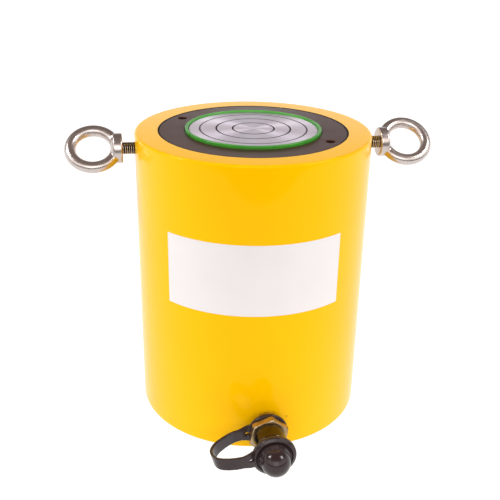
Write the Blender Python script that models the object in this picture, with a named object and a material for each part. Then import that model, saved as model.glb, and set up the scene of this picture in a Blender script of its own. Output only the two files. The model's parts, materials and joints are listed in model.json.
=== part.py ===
"""Low hydraulic jack with a solid base, one oil port and a return spring inside its plunger.

Metres, +Z up. The origin is the centre of the base's underside, the oil coupler points along -Y
and the two eye bolts point along +X and -X.
"""
import math

import bmesh
import bpy
from mathutils import Matrix, Vector

MM = 0.001
GAP = 0.3 * MM
# How far a cutter reaches past the face that it cuts
OVERSHOOT = 1 * MM

# Cylinder body
BODY_DIAMETER = 180 * MM
WALL_THICKNESS = 20 * MM
BASE_THICKNESS = 45 * MM
BODY_TOP_ROUND = 2.0 * MM
BODY_FOOT_ROUND = 1.6 * MM
STROKE = 100 * MM

# Gland ring, screwed into the top of the body
GLAND_WIDTH = 21 * MM
GLAND_LENGTH = 42.7 * MM
GLAND_RECESS = 0.2 * MM
GLAND_SPIGOT_LENGTH = 10.4 * MM
GLAND_THREAD_STEP = 2 * MM
GLAND_CHAMFER = 0.6 * MM
GLAND_RUNNING_GAP = 0.4 * MM
SPANNER_HOLE_DIAMETER = 7 * MM
SPANNER_HOLE_DEPTH = 8 * MM
SPANNER_HOLE_ANGLE = math.radians(144)

# Rod wiper: a snap-in ring whose lip stands above the gland
WIPER_BASE_WIDTH = 4.7 * MM
WIPER_BASE_HEIGHT = 4.4 * MM
WIPER_LIP_WIDTH = 2.1 * MM
WIPER_LIP_RISE = 2.1 * MM
WIPER_SHELF = 3.0 * MM
WIPER_LIP_CHAMFER = 0.5 * MM
WIPER_EDGE_WIDTH = 0.6 * MM
WIPER_EDGE_HEIGHT = 1.2 * MM

# Guide ring and static seal in the gland
GUIDE_THICKNESS = 2.4 * MM
GUIDE_HEIGHT = 15 * MM
GUIDE_INSET = 6 * MM
GLAND_SEAL_SECTION = 3.2 * MM

# Plunger: rod and piston head in one piece
ROD_WALL = 19 * MM
ROD_RIM_WIDTH = 8 * MM
ROD_TOP_CHAMFER = 1.0 * MM
ROD_TOP_RISE = 0.6 * MM
PISTON_LENGTH = 40 * MM
PISTON_RUNNING_GAP = 0.4 * MM
PISTON_FOOT_WIDTH = 11 * MM
PISTON_FOOT_HEIGHT = 1.5 * MM
PLUNGER_CROWN = 41.3 * MM

# Seals and bearing ring on the piston head
PISTON_SEAL_WIDTH = 8.4 * MM
PISTON_SEAL_HEIGHT = 7 * MM
PISTON_SEAL_INSET = 5 * MM
SEAL_LIP_DEPTH = 3 * MM
SEAL_LIP_WIDTH = 1.6 * MM
BACKUP_RING_HEIGHT = 3 * MM
WEAR_RING_WIDTH = 2.9 * MM
PISTON_LAND = 4.5 * MM
WEAR_RING_INSET = 6 * MM

# Saddle: the grooved plate that takes the load
SADDLE_THICKNESS = 10 * MM
SADDLE_SHANK_DIAMETER = 31 * MM
SADDLE_SHANK_LENGTH = 12 * MM
SADDLE_GROOVES = 2
SADDLE_GROOVE_SPACING = 12.4 * MM
SADDLE_GROOVE_WIDTH = 1.0 * MM
SADDLE_GROOVE_DEPTH = 0.8 * MM
SADDLE_CLEARANCE = 0.4 * MM
SADDLE_CHAMFER = 0.4 * MM
SADDLE_RING_SECTION = 1.8 * MM

# Return spring and its two screwed anchors
SPRING_WIRE = 5 * MM
SPRING_CLEARANCE = 6.5 * MM
SPRING_TURNS = 12
ANCHOR_CLEARANCE = 4 * MM
ANCHOR_FLANGE_HEIGHT = 5 * MM
ANCHOR_PLUG_HEIGHT = 14 * MM
ANCHOR_STUD_DIAMETER = 18 * MM
ANCHOR_STUD_LENGTH = 9 * MM

# Oil port in the base
PORT_HEIGHT = 21.5 * MM
PORT_DRILL_DIAMETER = 8 * MM
OIL_RISER_REACH = 24 * MM
PIPE_THREAD_DIAMETER = 17.1 * MM
PIPE_THREAD_LENGTH = 18.5 * MM
PIPE_THREAD_TAPER = 1 / 16

# Coupler adapter: pipe thread, shank, hexagon and spigot
COUPLER_STANDOFF = 11 * MM
SHANK_DIAMETER = 19.2 * MM
SHANK_LENGTH = 4.5 * MM
HEX_ACROSS_FLATS = 27 * MM
HEX_LENGTH = 5.7 * MM
HEX_CORNER = math.radians(82)
HEX_CHAMFER_WIDTH = 2.5 * MM
HEX_CHAMFER = 1.5 * MM
SPIGOT_DIAMETER = 17.4 * MM
SPIGOT_LENGTH = 7.8 * MM
ADAPTER_BORE = 8 * MM
COUPLER_SEAL_SECTION = 1.2 * MM
COUPLER_SEAL_HEIGHT = 2 * MM
COUPLER_SEAL_SETBACK = 2 * MM
COUPLER_SEAL_CHAMFER = 0.35 * MM

# Coupler sleeve: valve chamber behind, threaded nose in front
SLEEVE_DIAMETER = 24.1 * MM
SLEEVE_LENGTH = 17.2 * MM
SLEEVE_CHAMFER = 0.8 * MM
NOSE_DIAMETER = 18.8 * MM
NOSE_LENGTH = 11.1 * MM
CHAMBER_DIAMETER = 13 * MM
CHAMBER_LENGTH = 13.2 * MM
VALVE_SEAT_BORE = 7 * MM
VALVE_SEAT_LENGTH = 3 * MM
VALVE_SEAT_CHAMFER = 1.5 * MM
SOCKET_DIAMETER = 12.4 * MM

# Check valve inside the sleeve
RETAINER_THICKNESS = 1.5 * MM
RETAINER_HOLE = 6 * MM
POPPET_HEAD_DIAMETER = 11 * MM
POPPET_HEAD_LENGTH = 3.6 * MM
POPPET_STEM_DIAMETER = 4 * MM
POPPET_STEM_REACH = 7.2 * MM
POPPET_CONE = 1.2 * MM
VALVE_SPRING_DIAMETER = 8.6 * MM
VALVE_SPRING_WIRE = 1.0 * MM
VALVE_SPRING_TURNS = 4

# Dust cap
CAP_FLANGE_DIAMETER = 26.4 * MM
CAP_FLANGE_LENGTH = 1.4 * MM
CAP_GROOVE_DIAMETER = 22.4 * MM
CAP_SKIRT_DIAMETER = 24.6 * MM
CAP_SKIRT_LENGTH = 4.8 * MM
CAP_SKIRT_TAPER = 1.1 * MM
CAP_DOME_DIAMETER = 21.4 * MM
CAP_DOME_RISE = 0.3 * MM
CAP_CROWN_THICKNESS = 2.5 * MM

# Cap strap: two rings joined by a folded band
STRAP_REAR_RING_DIAMETER = 30.6 * MM
STRAP_REAR_RING_THICKNESS = 2.6 * MM
STRAP_FRONT_RING_DIAMETER = 32.8 * MM
STRAP_FRONT_RING_THICKNESS = 3.5 * MM
STRAP_LIP_DIAMETER = 26.8 * MM
STRAP_LIP_WIDTH = 0.8 * MM
STRAP_LIP_RISE = 0.9 * MM
STRAP_BAND_WIDTH = 9.8 * MM
STRAP_BAND_THICKNESS = 1.8 * MM
STRAP_LOOP_REACH = 46 * MM
STRAP_SLOT_LENGTH = 4.0 * MM
STRAP_SLOT_HEIGHT = 1.8 * MM
STRAP_SLOT_DEPTH = 12 * MM
# Where the band starts inside its rings and leaves the rear one, as shares of their radii
STRAP_REAR_ROOT_SHARE = 0.72
STRAP_REAR_LEAVE_SHARE = 1.06
STRAP_FRONT_ROOT_SHARE = 0.76
# The fold between the rings, as shares of the loop's reach and of the way between the rings
STRAP_FOLD_SHARES = (
    (0.5, 0.08), (0.64, 0.185), (0.864, 0.5), (0.96, 0.81),
    (0.922, 1.07), (0.805, 1.178), (0.596, 1.193), (0.4, 1.12),
)
# How much further out the band's upper edge folds than its middle, as a share of the loop's reach
STRAP_FOLD_LEAN = 0.033
# How far and how much the band widens where it meets a ring, as shares of the ring's radius
STRAP_NECK_LENGTH_SHARE = 0.7
STRAP_NECK_FLARE_SHARE = 0.2

# Eye bolts
EYE_BOLT_DROP = 12.4 * MM
EYE_THREAD_DIAMETER = 10 * MM
EYE_THREAD_ENGAGEMENT = 8 * MM
EYE_THREAD_EXPOSED = 9.0 * MM
EYE_THREAD_CHAMFER = 1 * MM
EYE_HOLE_SPARE = 2 * MM
EYE_COLLAR_DIAMETER = 22.6 * MM
EYE_COLLAR_LENGTH = 7.2 * MM
EYE_COLLAR_ROUND = 0.5 * MM
EYE_COLLAR_CROWN = 1.0 * MM
EYE_NECK_FILLET = 3 * MM
EYE_RING_DIAMETER = 34.0 * MM
EYE_RING_SECTION = 8.6 * MM
EYE_RING_STANDOFF = 0.5 * MM
EYE_TURN_LEFT = math.radians(54.4)
EYE_TURN_RIGHT = math.radians(48.7)

# Facets round a full turn
BODY_FACETS = 64
RING_FACETS = 36
SMALL_FACETS = 20
BOLT_FACETS = 16
HOLE_FACETS = 16
COIL_FACETS = 12
EYE_SECTION_FACETS = 8
WIRE_FACETS = 5

# Heights and radii worked out from the sizes above
body_radius = BODY_DIAMETER / 2
bore_radius = body_radius - WALL_THICKNESS
rod_radius = bore_radius - GLAND_WIDTH
recess_radius = rod_radius - ROD_RIM_WIDTH
saddle_radius = recess_radius - SADDLE_CLEARANCE
spring_room_radius = rod_radius - ROD_WALL
spring_radius = spring_room_radius - SPRING_CLEARANCE - SPRING_WIRE / 2
floor_z = BASE_THICKNESS
piston_foot_z = floor_z + GAP
piston_top_z = piston_foot_z + PISTON_LENGTH
gland_foot_z = piston_top_z + STROKE + GAP
gland_top_z = gland_foot_z + GLAND_LENGTH
body_top_z = gland_top_z + GLAND_RECESS
thread_seat_z = gland_foot_z + GLAND_SPIGOT_LENGTH
thread_radius = bore_radius + GLAND_THREAD_STEP
load_face_z = body_top_z + ROD_TOP_RISE
spring_room_top_z = load_face_z - PLUNGER_CROWN
eye_bolt_z = body_top_z - EYE_BOLT_DROP

wiper_base_z = gland_top_z - WIPER_SHELF - WIPER_BASE_HEIGHT - GAP
wiper_groove_radius = rod_radius + 2 * GAP + WIPER_BASE_WIDTH
wiper_throat_radius = rod_radius + 2 * GAP + WIPER_LIP_WIDTH

hex_rear = body_radius + COUPLER_STANDOFF
hex_front = hex_rear + HEX_LENGTH
sleeve_rear = hex_front + GAP
sleeve_front = sleeve_rear + SLEEVE_LENGTH
spigot_end = hex_front + SPIGOT_LENGTH
chamber_rear = spigot_end + GAP
seat_rear = chamber_rear + CHAMBER_LENGTH
seat_front = seat_rear + VALVE_SEAT_LENGTH
nose_end = sleeve_front + NOSE_LENGTH
cap_rear = sleeve_front + GAP
cap_groove_rear = cap_rear + CAP_FLANGE_LENGTH
cap_groove_front = cap_groove_rear + STRAP_FRONT_RING_THICKNESS + 2 * GAP
cap_skirt_front = cap_groove_front + CAP_SKIRT_LENGTH
cap_dome_centre = cap_skirt_front + CAP_DOME_RISE


def material(name, colour, metallic, roughness):
    """One Principled material with the part's own colour."""
    made = bpy.data.materials.new(name)
    made.use_nodes = True
    shader = made.node_tree.nodes["Principled BSDF"]
    shader.inputs["Base Color"].default_value = (*colour, 1.0)
    shader.inputs["Metallic"].default_value = metallic
    shader.inputs["Roughness"].default_value = roughness
    return made


def add_object(name, bm, finish, location=(0, 0, 0), rotation=(0, 0, 0), order="XYZ"):
    """Turn a finished bmesh into a named object with one material."""
    bmesh.ops.recalc_face_normals(bm, faces=bm.faces)
    mesh = bpy.data.meshes.new(name)
    bm.to_mesh(mesh)
    bm.free()
    mesh.shade_smooth()
    mesh.set_sharp_from_angle(angle=math.radians(35))
    if finish:
        mesh.materials.append(finish)
    made = bpy.data.objects.new(name, mesh)
    made.location = location
    made.rotation_mode = order
    made.rotation_euler = rotation
    bpy.context.collection.objects.link(made)
    return made


def revolve(profile, facets):
    """Spin a half-section of (radius, height) points about Z; it may start and end on the axis."""
    bm = bmesh.new()
    verts = [bm.verts.new((radius, 0, height)) for radius, height in profile]
    edges = [bm.edges.new(pair) for pair in zip(verts, verts[1:])]
    if profile[0][0] > 0:
        edges.append(bm.edges.new((verts[-1], verts[0])))
    bmesh.ops.spin(bm, geom=verts + edges, cent=(0, 0, 0), axis=(0, 0, 1), dvec=(0, 0, 0),
                   angle=math.tau, steps=facets, use_merge=True)
    bmesh.ops.remove_doubles(bm, verts=bm.verts, dist=1e-6)
    return bm


def arc(centre, radius, start, end, steps):
    """Points of an arc, in degrees, round a centre of a half-section."""
    points = []
    for step in range(steps + 1):
        angle = math.radians(start + (end - start) * step / steps)
        points.append((centre[0] + radius * math.cos(angle), centre[1] + radius * math.sin(angle)))
    return points


def rod(radius, low, high, facets):
    """A plain round bar along Z."""
    return revolve([(0, low), (radius, low), (radius, high), (0, high)], facets)


def block(low, high):
    """A rectangular block between two corners."""
    bm = bmesh.new()
    bmesh.ops.create_cube(bm, size=1)
    centre = [(a + b) / 2 for a, b in zip(low, high)]
    bmesh.ops.scale(bm, vec=[b - a for a, b in zip(low, high)], verts=bm.verts)
    bmesh.ops.translate(bm, vec=centre, verts=bm.verts)
    return bm


def combine(target, tool, operation):
    """Cut the tool out of the target, join it on, or keep only what they share."""
    tool.hide_render = True
    tool.display_type = "WIRE"
    modifier = target.modifiers.new(tool.name, "BOOLEAN")
    modifier.operation = operation
    modifier.solver = "EXACT"
    modifier.object = tool


def helix(mean_radius, wire, low, high, turns):
    """A spring whose wire runs from one height to another, its ends cut square."""
    bm = bmesh.new()
    steps = turns * COIL_FACETS
    rings = []
    for step in range(steps + 1):
        angle = math.tau * step / COIL_FACETS
        height = low + wire / 2 + (high - low - wire) * step / steps
        outward = Vector((math.cos(angle), math.sin(angle), 0))
        centre = outward * mean_radius + Vector((0, 0, height))
        ring = []
        for side in range(WIRE_FACETS):
            turn = math.tau * side / WIRE_FACETS
            offset = math.cos(turn) * outward + math.sin(turn) * Vector((0, 0, 1))
            ring.append(bm.verts.new(centre + wire / 2 * offset))
        rings.append(ring)
    for near, far in zip(rings, rings[1:]):
        for side in range(WIRE_FACETS):
            after = (side + 1) % WIRE_FACETS
            bm.faces.new((near[side], near[after], far[after], far[side]))
    bm.faces.new(rings[0])
    bm.faces.new(rings[-1])
    return bm


def on_coupler_axis(name, bm, finish):
    """Lay a turned piece along -Y at the port's height; its Z is the distance from the jack's axis."""
    return add_object(name, bm, finish, location=(0, 0, PORT_HEIGHT), rotation=(math.pi / 2, 0, 0))


def cylinder_body():
    """One forged cup: the base is its floor, the gland's thread is cut in its mouth."""
    outer = arc((body_radius - BODY_FOOT_ROUND, BODY_FOOT_ROUND), BODY_FOOT_ROUND, -90, 0, 2)
    outer += arc((body_radius - BODY_TOP_ROUND, body_top_z - BODY_TOP_ROUND), BODY_TOP_ROUND, 0, 90, 3)
    mouth = thread_radius + GLAND_CHAMFER
    inner = [
        (mouth, body_top_z),
        (thread_radius, body_top_z - GLAND_CHAMFER),
        (thread_radius, thread_seat_z),
        (bore_radius, thread_seat_z),
        (bore_radius, floor_z),
        (0, floor_z),
    ]
    body = add_object("cylinder_body", revolve([(0, 0)] + outer + inner, BODY_FACETS), PAINT)
    taper = PIPE_THREAD_LENGTH * PIPE_THREAD_TAPER / 2
    port_radius = PIPE_THREAD_DIAMETER / 2 + GAP
    port = [
        (0, body_radius - PIPE_THREAD_LENGTH - GAP),
        (port_radius - taper, body_radius - PIPE_THREAD_LENGTH - GAP),
        (port_radius, body_radius),
        (port_radius, body_radius + BODY_FOOT_ROUND),
        (0, body_radius + BODY_FOOT_ROUND),
    ]
    combine(body, on_coupler_axis("port_thread_cut", revolve(port, SMALL_FACETS), None), "DIFFERENCE")
    drill = rod(PORT_DRILL_DIAMETER / 2, OIL_RISER_REACH, body_radius - PIPE_THREAD_LENGTH, HOLE_FACETS)
    combine(body, on_coupler_axis("port_drill_cut", drill, None), "DIFFERENCE")
    riser_foot = PORT_HEIGHT - PORT_DRILL_DIAMETER / 4
    riser = rod(PORT_DRILL_DIAMETER / 2, riser_foot, floor_z + OVERSHOOT, HOLE_FACETS)
    riser_cut = add_object("oil_riser_cut", riser, None, location=(0, -OIL_RISER_REACH, 0))
    combine(body, riser_cut, "DIFFERENCE")
    stud_foot = floor_z - ANCHOR_STUD_LENGTH - GAP
    stud = rod(ANCHOR_STUD_DIAMETER / 2 + GAP, stud_foot, floor_z + OVERSHOOT, SMALL_FACETS)
    combine(body, add_object("anchor_hole_cut", stud, None), "DIFFERENCE")
    for side, name in ((1, "right"), (-1, "left")):
        depth = body_radius - EYE_THREAD_ENGAGEMENT - EYE_HOLE_SPARE
        hole = rod(EYE_THREAD_DIAMETER / 2 + GAP, depth, body_radius + OVERSHOOT, HOLE_FACETS)
        cutter = add_object(f"eye_hole_{name}_cut", hole, None, location=(0, 0, eye_bolt_z),
                            rotation=(0, side * math.pi / 2, 0))
        combine(body, cutter, "DIFFERENCE")


def gland_ring():
    """The black ring: it holds the wiper, guide ring and static seal and stops the piston."""
    bore = rod_radius + GLAND_RUNNING_GAP
    spigot = bore_radius - GAP
    seal_floor = spigot - GLAND_SEAL_SECTION
    seal_low = gland_foot_z + (GLAND_SPIGOT_LENGTH - GLAND_SEAL_SECTION) / 2 - GAP
    seal_high = seal_low + GLAND_SEAL_SECTION + 2 * GAP
    guide_low = gland_foot_z + GUIDE_INSET
    guide_high = guide_low + GUIDE_HEIGHT + 2 * GAP
    guide_radius = rod_radius + GUIDE_THICKNESS + 2 * GAP
    thread = thread_radius - GAP
    profile = [
        (bore, gland_foot_z),
        (spigot, gland_foot_z),
        (spigot, seal_low),
        (seal_floor, seal_low),
        (seal_floor, seal_high),
        (spigot, seal_high),
        (spigot, thread_seat_z + GAP),
        (thread, thread_seat_z + GAP),
        (thread, gland_top_z - GLAND_CHAMFER),
        (thread - GLAND_CHAMFER, gland_top_z),
        (wiper_throat_radius, gland_top_z),
        (wiper_throat_radius, gland_top_z - WIPER_SHELF),
        (wiper_groove_radius, gland_top_z - WIPER_SHELF),
        (wiper_groove_radius, wiper_base_z - GAP),
        (bore, wiper_base_z - GAP),
        (bore, guide_high),
        (guide_radius, guide_high),
        (guide_radius, guide_low),
        (bore, guide_low),
    ]
    ring = add_object("gland_ring", revolve(profile, RING_FACETS), BLACK_STEEL)
    reach = (wiper_groove_radius + thread) / 2
    for turn, name in ((0, "a"), (math.pi, "b")):
        angle = SPANNER_HOLE_ANGLE + turn
        floor = gland_top_z - SPANNER_HOLE_DEPTH
        hole = rod(SPANNER_HOLE_DIAMETER / 2, floor, gland_top_z + OVERSHOOT, HOLE_FACETS)
        place = (reach * math.cos(angle), reach * math.sin(angle), 0)
        combine(ring, add_object(f"spanner_hole_{name}_cut", hole, None, location=place), "DIFFERENCE")
    seal = [
        (seal_floor + GAP, seal_low + GAP),
        (bore_radius - GAP, seal_low + GAP),
        (bore_radius - GAP, seal_high - GAP),
        (seal_floor + GAP, seal_high - GAP),
    ]
    add_object("gland_seal", revolve(rounded(seal, GLAND_SEAL_SECTION / 4), RING_FACETS), NITRILE)
    guide = [
        (rod_radius + GAP, guide_low + GAP),
        (guide_radius - GAP, guide_low + GAP),
        (guide_radius - GAP, guide_high - GAP),
        (rod_radius + GAP, guide_high - GAP),
    ]
    add_object("rod_guide_ring", revolve(guide, RING_FACETS), BRONZE)


def rounded(section, chamfer):
    """A round seal's six-sided half-section inside a rectangle, given low inner corner first."""
    (inner, low), (outer, _), (_, high), _ = section
    middle = (low + high) / 2
    return [
        (inner, middle), (inner + chamfer, low), (outer - chamfer, low),
        (outer, middle), (outer - chamfer, high), (inner + chamfer, high),
    ]


def rod_wiper():
    """The green scraper: a snap-in base and a lip that stands proud of the gland."""
    base_outer = wiper_groove_radius - GAP
    lip_outer = wiper_throat_radius - GAP
    lip_inner = rod_radius + GAP
    shelf = gland_top_z - WIPER_SHELF - GAP
    top = gland_top_z + WIPER_LIP_RISE
    profile = [
        (lip_inner + GAP, wiper_base_z),
        (base_outer, wiper_base_z),
        (base_outer, shelf),
        (lip_outer, shelf),
        (lip_outer, top - WIPER_LIP_CHAMFER),
        (lip_outer - WIPER_LIP_CHAMFER, top),
        (lip_inner + WIPER_EDGE_WIDTH, top),
        (lip_inner, top - WIPER_EDGE_HEIGHT),
        (lip_inner + GAP, shelf),
    ]
    add_object("rod_wiper", revolve(profile, RING_FACETS), GREEN_URETHANE)


def plunger():
    """Rod and piston head in one forging, bored from below for the spring."""
    piston = bore_radius - PISTON_RUNNING_GAP
    seal_low = piston_foot_z + PISTON_SEAL_INSET
    seal_high = seal_low + PISTON_SEAL_HEIGHT + BACKUP_RING_HEIGHT + 3 * GAP
    seal_floor = bore_radius - PISTON_SEAL_WIDTH - 2 * GAP
    wear_high = piston_top_z - WEAR_RING_INSET
    wear_low = seal_high + PISTON_LAND
    wear_floor = bore_radius - WEAR_RING_WIDTH - 2 * GAP
    recess_z = load_face_z - SADDLE_THICKNESS - GAP
    shank_hole = SADDLE_SHANK_DIAMETER / 2 + SADDLE_CLEARANCE
    shank_z = recess_z - SADDLE_SHANK_LENGTH - 2 * GAP
    stud = ANCHOR_STUD_DIAMETER / 2 + GAP
    stud_z = spring_room_top_z + ANCHOR_STUD_LENGTH + GAP
    foot = piston - PISTON_FOOT_WIDTH
    profile = [
        (0, shank_z),
        (shank_hole, shank_z),
        (shank_hole, recess_z),
        (recess_radius, recess_z),
        (recess_radius, load_face_z),
        (rod_radius - ROD_TOP_CHAMFER, load_face_z),
        (rod_radius, load_face_z - ROD_TOP_CHAMFER),
        (rod_radius, piston_top_z),
        (piston, piston_top_z),
        (piston, wear_high),
        (wear_floor, wear_high),
        (wear_floor, wear_low),
        (piston, wear_low),
        (piston, seal_high),
        (seal_floor, seal_high),
        (seal_floor, seal_low),
        (piston, seal_low),
        (piston, piston_foot_z),
        (foot, piston_foot_z),
        (foot, piston_foot_z + PISTON_FOOT_HEIGHT),
        (spring_room_radius, piston_foot_z + PISTON_FOOT_HEIGHT),
        (spring_room_radius, spring_room_top_z),
        (stud, spring_room_top_z),
        (stud, stud_z),
        (0, stud_z),
    ]
    add_object("plunger", revolve(profile, RING_FACETS), CHROMED_STEEL)

    lip = seal_low + GAP
    back = lip + PISTON_SEAL_HEIGHT
    seal_inner = seal_floor + GAP
    seal_outer = bore_radius - GAP
    middle = (seal_inner + seal_outer) / 2
    cup = [
        (seal_inner, lip),
        (seal_inner + SEAL_LIP_WIDTH, lip),
        (middle, lip + SEAL_LIP_DEPTH),
        (seal_outer - SEAL_LIP_WIDTH, lip),
        (seal_outer, lip),
        (seal_outer, back),
        (seal_inner, back),
    ]
    add_object("piston_seal", revolve(cup, RING_FACETS), NITRILE)
    ring_low = back + GAP
    add_ring("piston_backup_ring", seal_inner, seal_outer, ring_low, ring_low + BACKUP_RING_HEIGHT, PTFE)
    add_ring("piston_wear_ring", wear_floor + GAP, seal_outer, wear_low + GAP, wear_high - GAP, BRONZE)


def add_ring(name, inner, outer, low, high, finish):
    """A plain ring of rectangular section."""
    section = [(inner, low), (outer, low), (outer, high), (inner, high)]
    return add_object(name, revolve(section, RING_FACETS), finish)


def saddle():
    """The loose load plate: V-grooves in its face, a shank below, and a ring that holds the shank."""
    foot_z = load_face_z - SADDLE_THICKNESS
    shank = SADDLE_SHANK_DIAMETER / 2
    shank_z = foot_z - SADDLE_SHANK_LENGTH
    half = SADDLE_GROOVE_WIDTH / 2
    ring_floor = shank - SADDLE_RING_SECTION
    ring_z = shank_z + SADDLE_SHANK_LENGTH / 2
    ring_half = SADDLE_RING_SECTION / 2
    profile = [
        (0, shank_z),
        (shank, shank_z),
        (shank, ring_z - ring_half - GAP),
        (ring_floor, ring_z - ring_half - GAP),
        (ring_floor, ring_z + ring_half + GAP),
        (shank, ring_z + ring_half + GAP),
        (shank, foot_z),
        (saddle_radius, foot_z),
        (saddle_radius, load_face_z - SADDLE_CHAMFER),
        (saddle_radius - SADDLE_CHAMFER, load_face_z),
    ]
    for step in range(SADDLE_GROOVES):
        groove = saddle_radius - (step + 1) * SADDLE_GROOVE_SPACING
        if groove < half + GAP:
            break
        profile.append((groove + half, load_face_z))
        profile.append((groove, load_face_z - SADDLE_GROOVE_DEPTH))
        profile.append((groove - half, load_face_z))
    profile.append((0, load_face_z))
    add_object("saddle", revolve(profile, RING_FACETS), GROUND_STEEL)
    section = [
        (ring_floor + GAP, ring_z - ring_half),
        (shank + SADDLE_CLEARANCE - GAP, ring_z - ring_half),
        (shank + SADDLE_CLEARANCE - GAP, ring_z + ring_half),
        (ring_floor + GAP, ring_z + ring_half),
    ]
    add_object("saddle_ring", revolve(rounded(section, SADDLE_RING_SECTION / 4), SMALL_FACETS), NITRILE)


def return_spring():
    """A tension spring screwed on two anchors: one in the base, one in the plunger's crown."""
    plug = spring_radius * math.cos(math.pi / COIL_FACETS) - SPRING_WIRE / 2 - GAP
    flange = spring_room_radius - ANCHOR_CLEARANCE
    stud = ANCHOR_STUD_DIAMETER / 2

    def anchor(name, seat, inward):
        """An anchor whose flange lies on the seat; inward is +1 when the spring is above it."""
        profile = [
            (0, seat - inward * ANCHOR_STUD_LENGTH),
            (stud, seat - inward * ANCHOR_STUD_LENGTH),
            (stud, seat + inward * GAP),
            (flange, seat + inward * GAP),
            (flange, seat + inward * ANCHOR_FLANGE_HEIGHT),
            (plug, seat + inward * ANCHOR_FLANGE_HEIGHT),
            (plug, seat + inward * (ANCHOR_FLANGE_HEIGHT + ANCHOR_PLUG_HEIGHT)),
            (0, seat + inward * (ANCHOR_FLANGE_HEIGHT + ANCHOR_PLUG_HEIGHT)),
        ]
        add_object(name, revolve(profile, SMALL_FACETS), PLAIN_STEEL)

    anchor("lower_spring_anchor", floor_z, 1)
    anchor("upper_spring_anchor", spring_room_top_z, -1)
    low = floor_z + ANCHOR_FLANGE_HEIGHT + GAP
    high = spring_room_top_z - ANCHOR_FLANGE_HEIGHT - GAP
    coil = helix(spring_radius, SPRING_WIRE, low, high, SPRING_TURNS)
    add_object("return_spring", coil, SPRING_STEEL)


def coupler_adapter():
    """Pipe thread, shank and spigot turned from hexagon bar, with the oilway through them."""
    thread = PIPE_THREAD_DIAMETER / 2
    thread_end = body_radius - PIPE_THREAD_LENGTH
    shank = SHANK_DIAMETER / 2
    shank_rear = hex_rear - SHANK_LENGTH
    spigot = SPIGOT_DIAMETER / 2
    bore = ADAPTER_BORE / 2
    seal_rear = hex_front + COUPLER_SEAL_SETBACK
    seal_front = seal_rear + COUPLER_SEAL_HEIGHT + 2 * GAP
    seal_floor = spigot - COUPLER_SEAL_SECTION - GAP
    grip = HEX_LENGTH / 3
    turned = [
        (bore, thread_end),
        (thread - PIPE_THREAD_LENGTH * PIPE_THREAD_TAPER / 2, thread_end),
        (thread, body_radius),
        (thread, shank_rear),
        (shank, shank_rear),
        (shank, hex_rear + grip),
        (spigot, hex_rear + grip),
        (spigot, seal_rear),
        (seal_floor, seal_rear),
        (seal_floor, seal_front),
        (spigot, seal_front),
        (spigot, spigot_end),
        (bore, spigot_end),
    ]
    adapter = on_coupler_axis("coupler_adapter", revolve(turned, SMALL_FACETS), ZINC_YELLOW)
    corner = HEX_ACROSS_FLATS / 2 / math.cos(math.pi / 6)
    hexagon = bmesh.new()
    outline = []
    for side in range(6):
        angle = HEX_CORNER + side * math.pi / 3
        outline.append(hexagon.verts.new((corner * math.cos(angle), corner * math.sin(angle), hex_rear)))
    face = hexagon.faces.new(outline)
    lifted = bmesh.ops.extrude_face_region(hexagon, geom=[face])["geom"]
    bmesh.ops.translate(hexagon, vec=(0, 0, HEX_LENGTH),
                        verts=[item for item in lifted if isinstance(item, bmesh.types.BMVert)])
    nut = on_coupler_axis("adapter_hexagon", hexagon, None)
    cone = [
        (bore + GAP, hex_rear - OVERSHOOT),
        (corner + OVERSHOOT, hex_rear - OVERSHOOT),
        (corner + OVERSHOOT, hex_front - HEX_CHAMFER * (1 - OVERSHOOT / HEX_CHAMFER_WIDTH)),
        (corner - HEX_CHAMFER_WIDTH, hex_front + OVERSHOOT),
        (bore + GAP, hex_front + OVERSHOOT),
    ]
    combine(nut, on_coupler_axis("hexagon_chamfer_cone", revolve(cone, SMALL_FACETS), None), "INTERSECT")
    combine(adapter, nut, "UNION")
    section = [
        (seal_floor + GAP, seal_rear + GAP),
        (spigot, seal_rear + GAP),
        (spigot, seal_front - GAP),
        (seal_floor + GAP, seal_front - GAP),
    ]
    on_coupler_axis("coupler_seal", revolve(rounded(section, COUPLER_SEAL_CHAMFER), SMALL_FACETS), NITRILE)


def coupler_sleeve():
    """The coupler's front half: it screws over the spigot and holds the check valve."""
    outer = SLEEVE_DIAMETER / 2
    nose = NOSE_DIAMETER / 2
    chamber = CHAMBER_DIAMETER / 2
    seat = VALVE_SEAT_BORE / 2
    socket = SOCKET_DIAMETER / 2
    profile = [
        (SPIGOT_DIAMETER / 2 + GAP, sleeve_rear),
        (outer, sleeve_rear),
        (outer, sleeve_front - SLEEVE_CHAMFER),
        (outer - SLEEVE_CHAMFER, sleeve_front),
        (nose, sleeve_front),
        (nose, nose_end - SLEEVE_CHAMFER),
        (nose - SLEEVE_CHAMFER, nose_end),
        (socket, nose_end),
        (socket, seat_front),
        (seat, seat_front),
        (seat, seat_rear + VALVE_SEAT_CHAMFER),
        (chamber, seat_rear),
        (chamber, chamber_rear + RETAINER_THICKNESS),
        (SPIGOT_DIAMETER / 2 + GAP, chamber_rear + RETAINER_THICKNESS),
    ]
    on_coupler_axis("coupler_sleeve", revolve(profile, SMALL_FACETS), ZINC_OLIVE)


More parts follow.
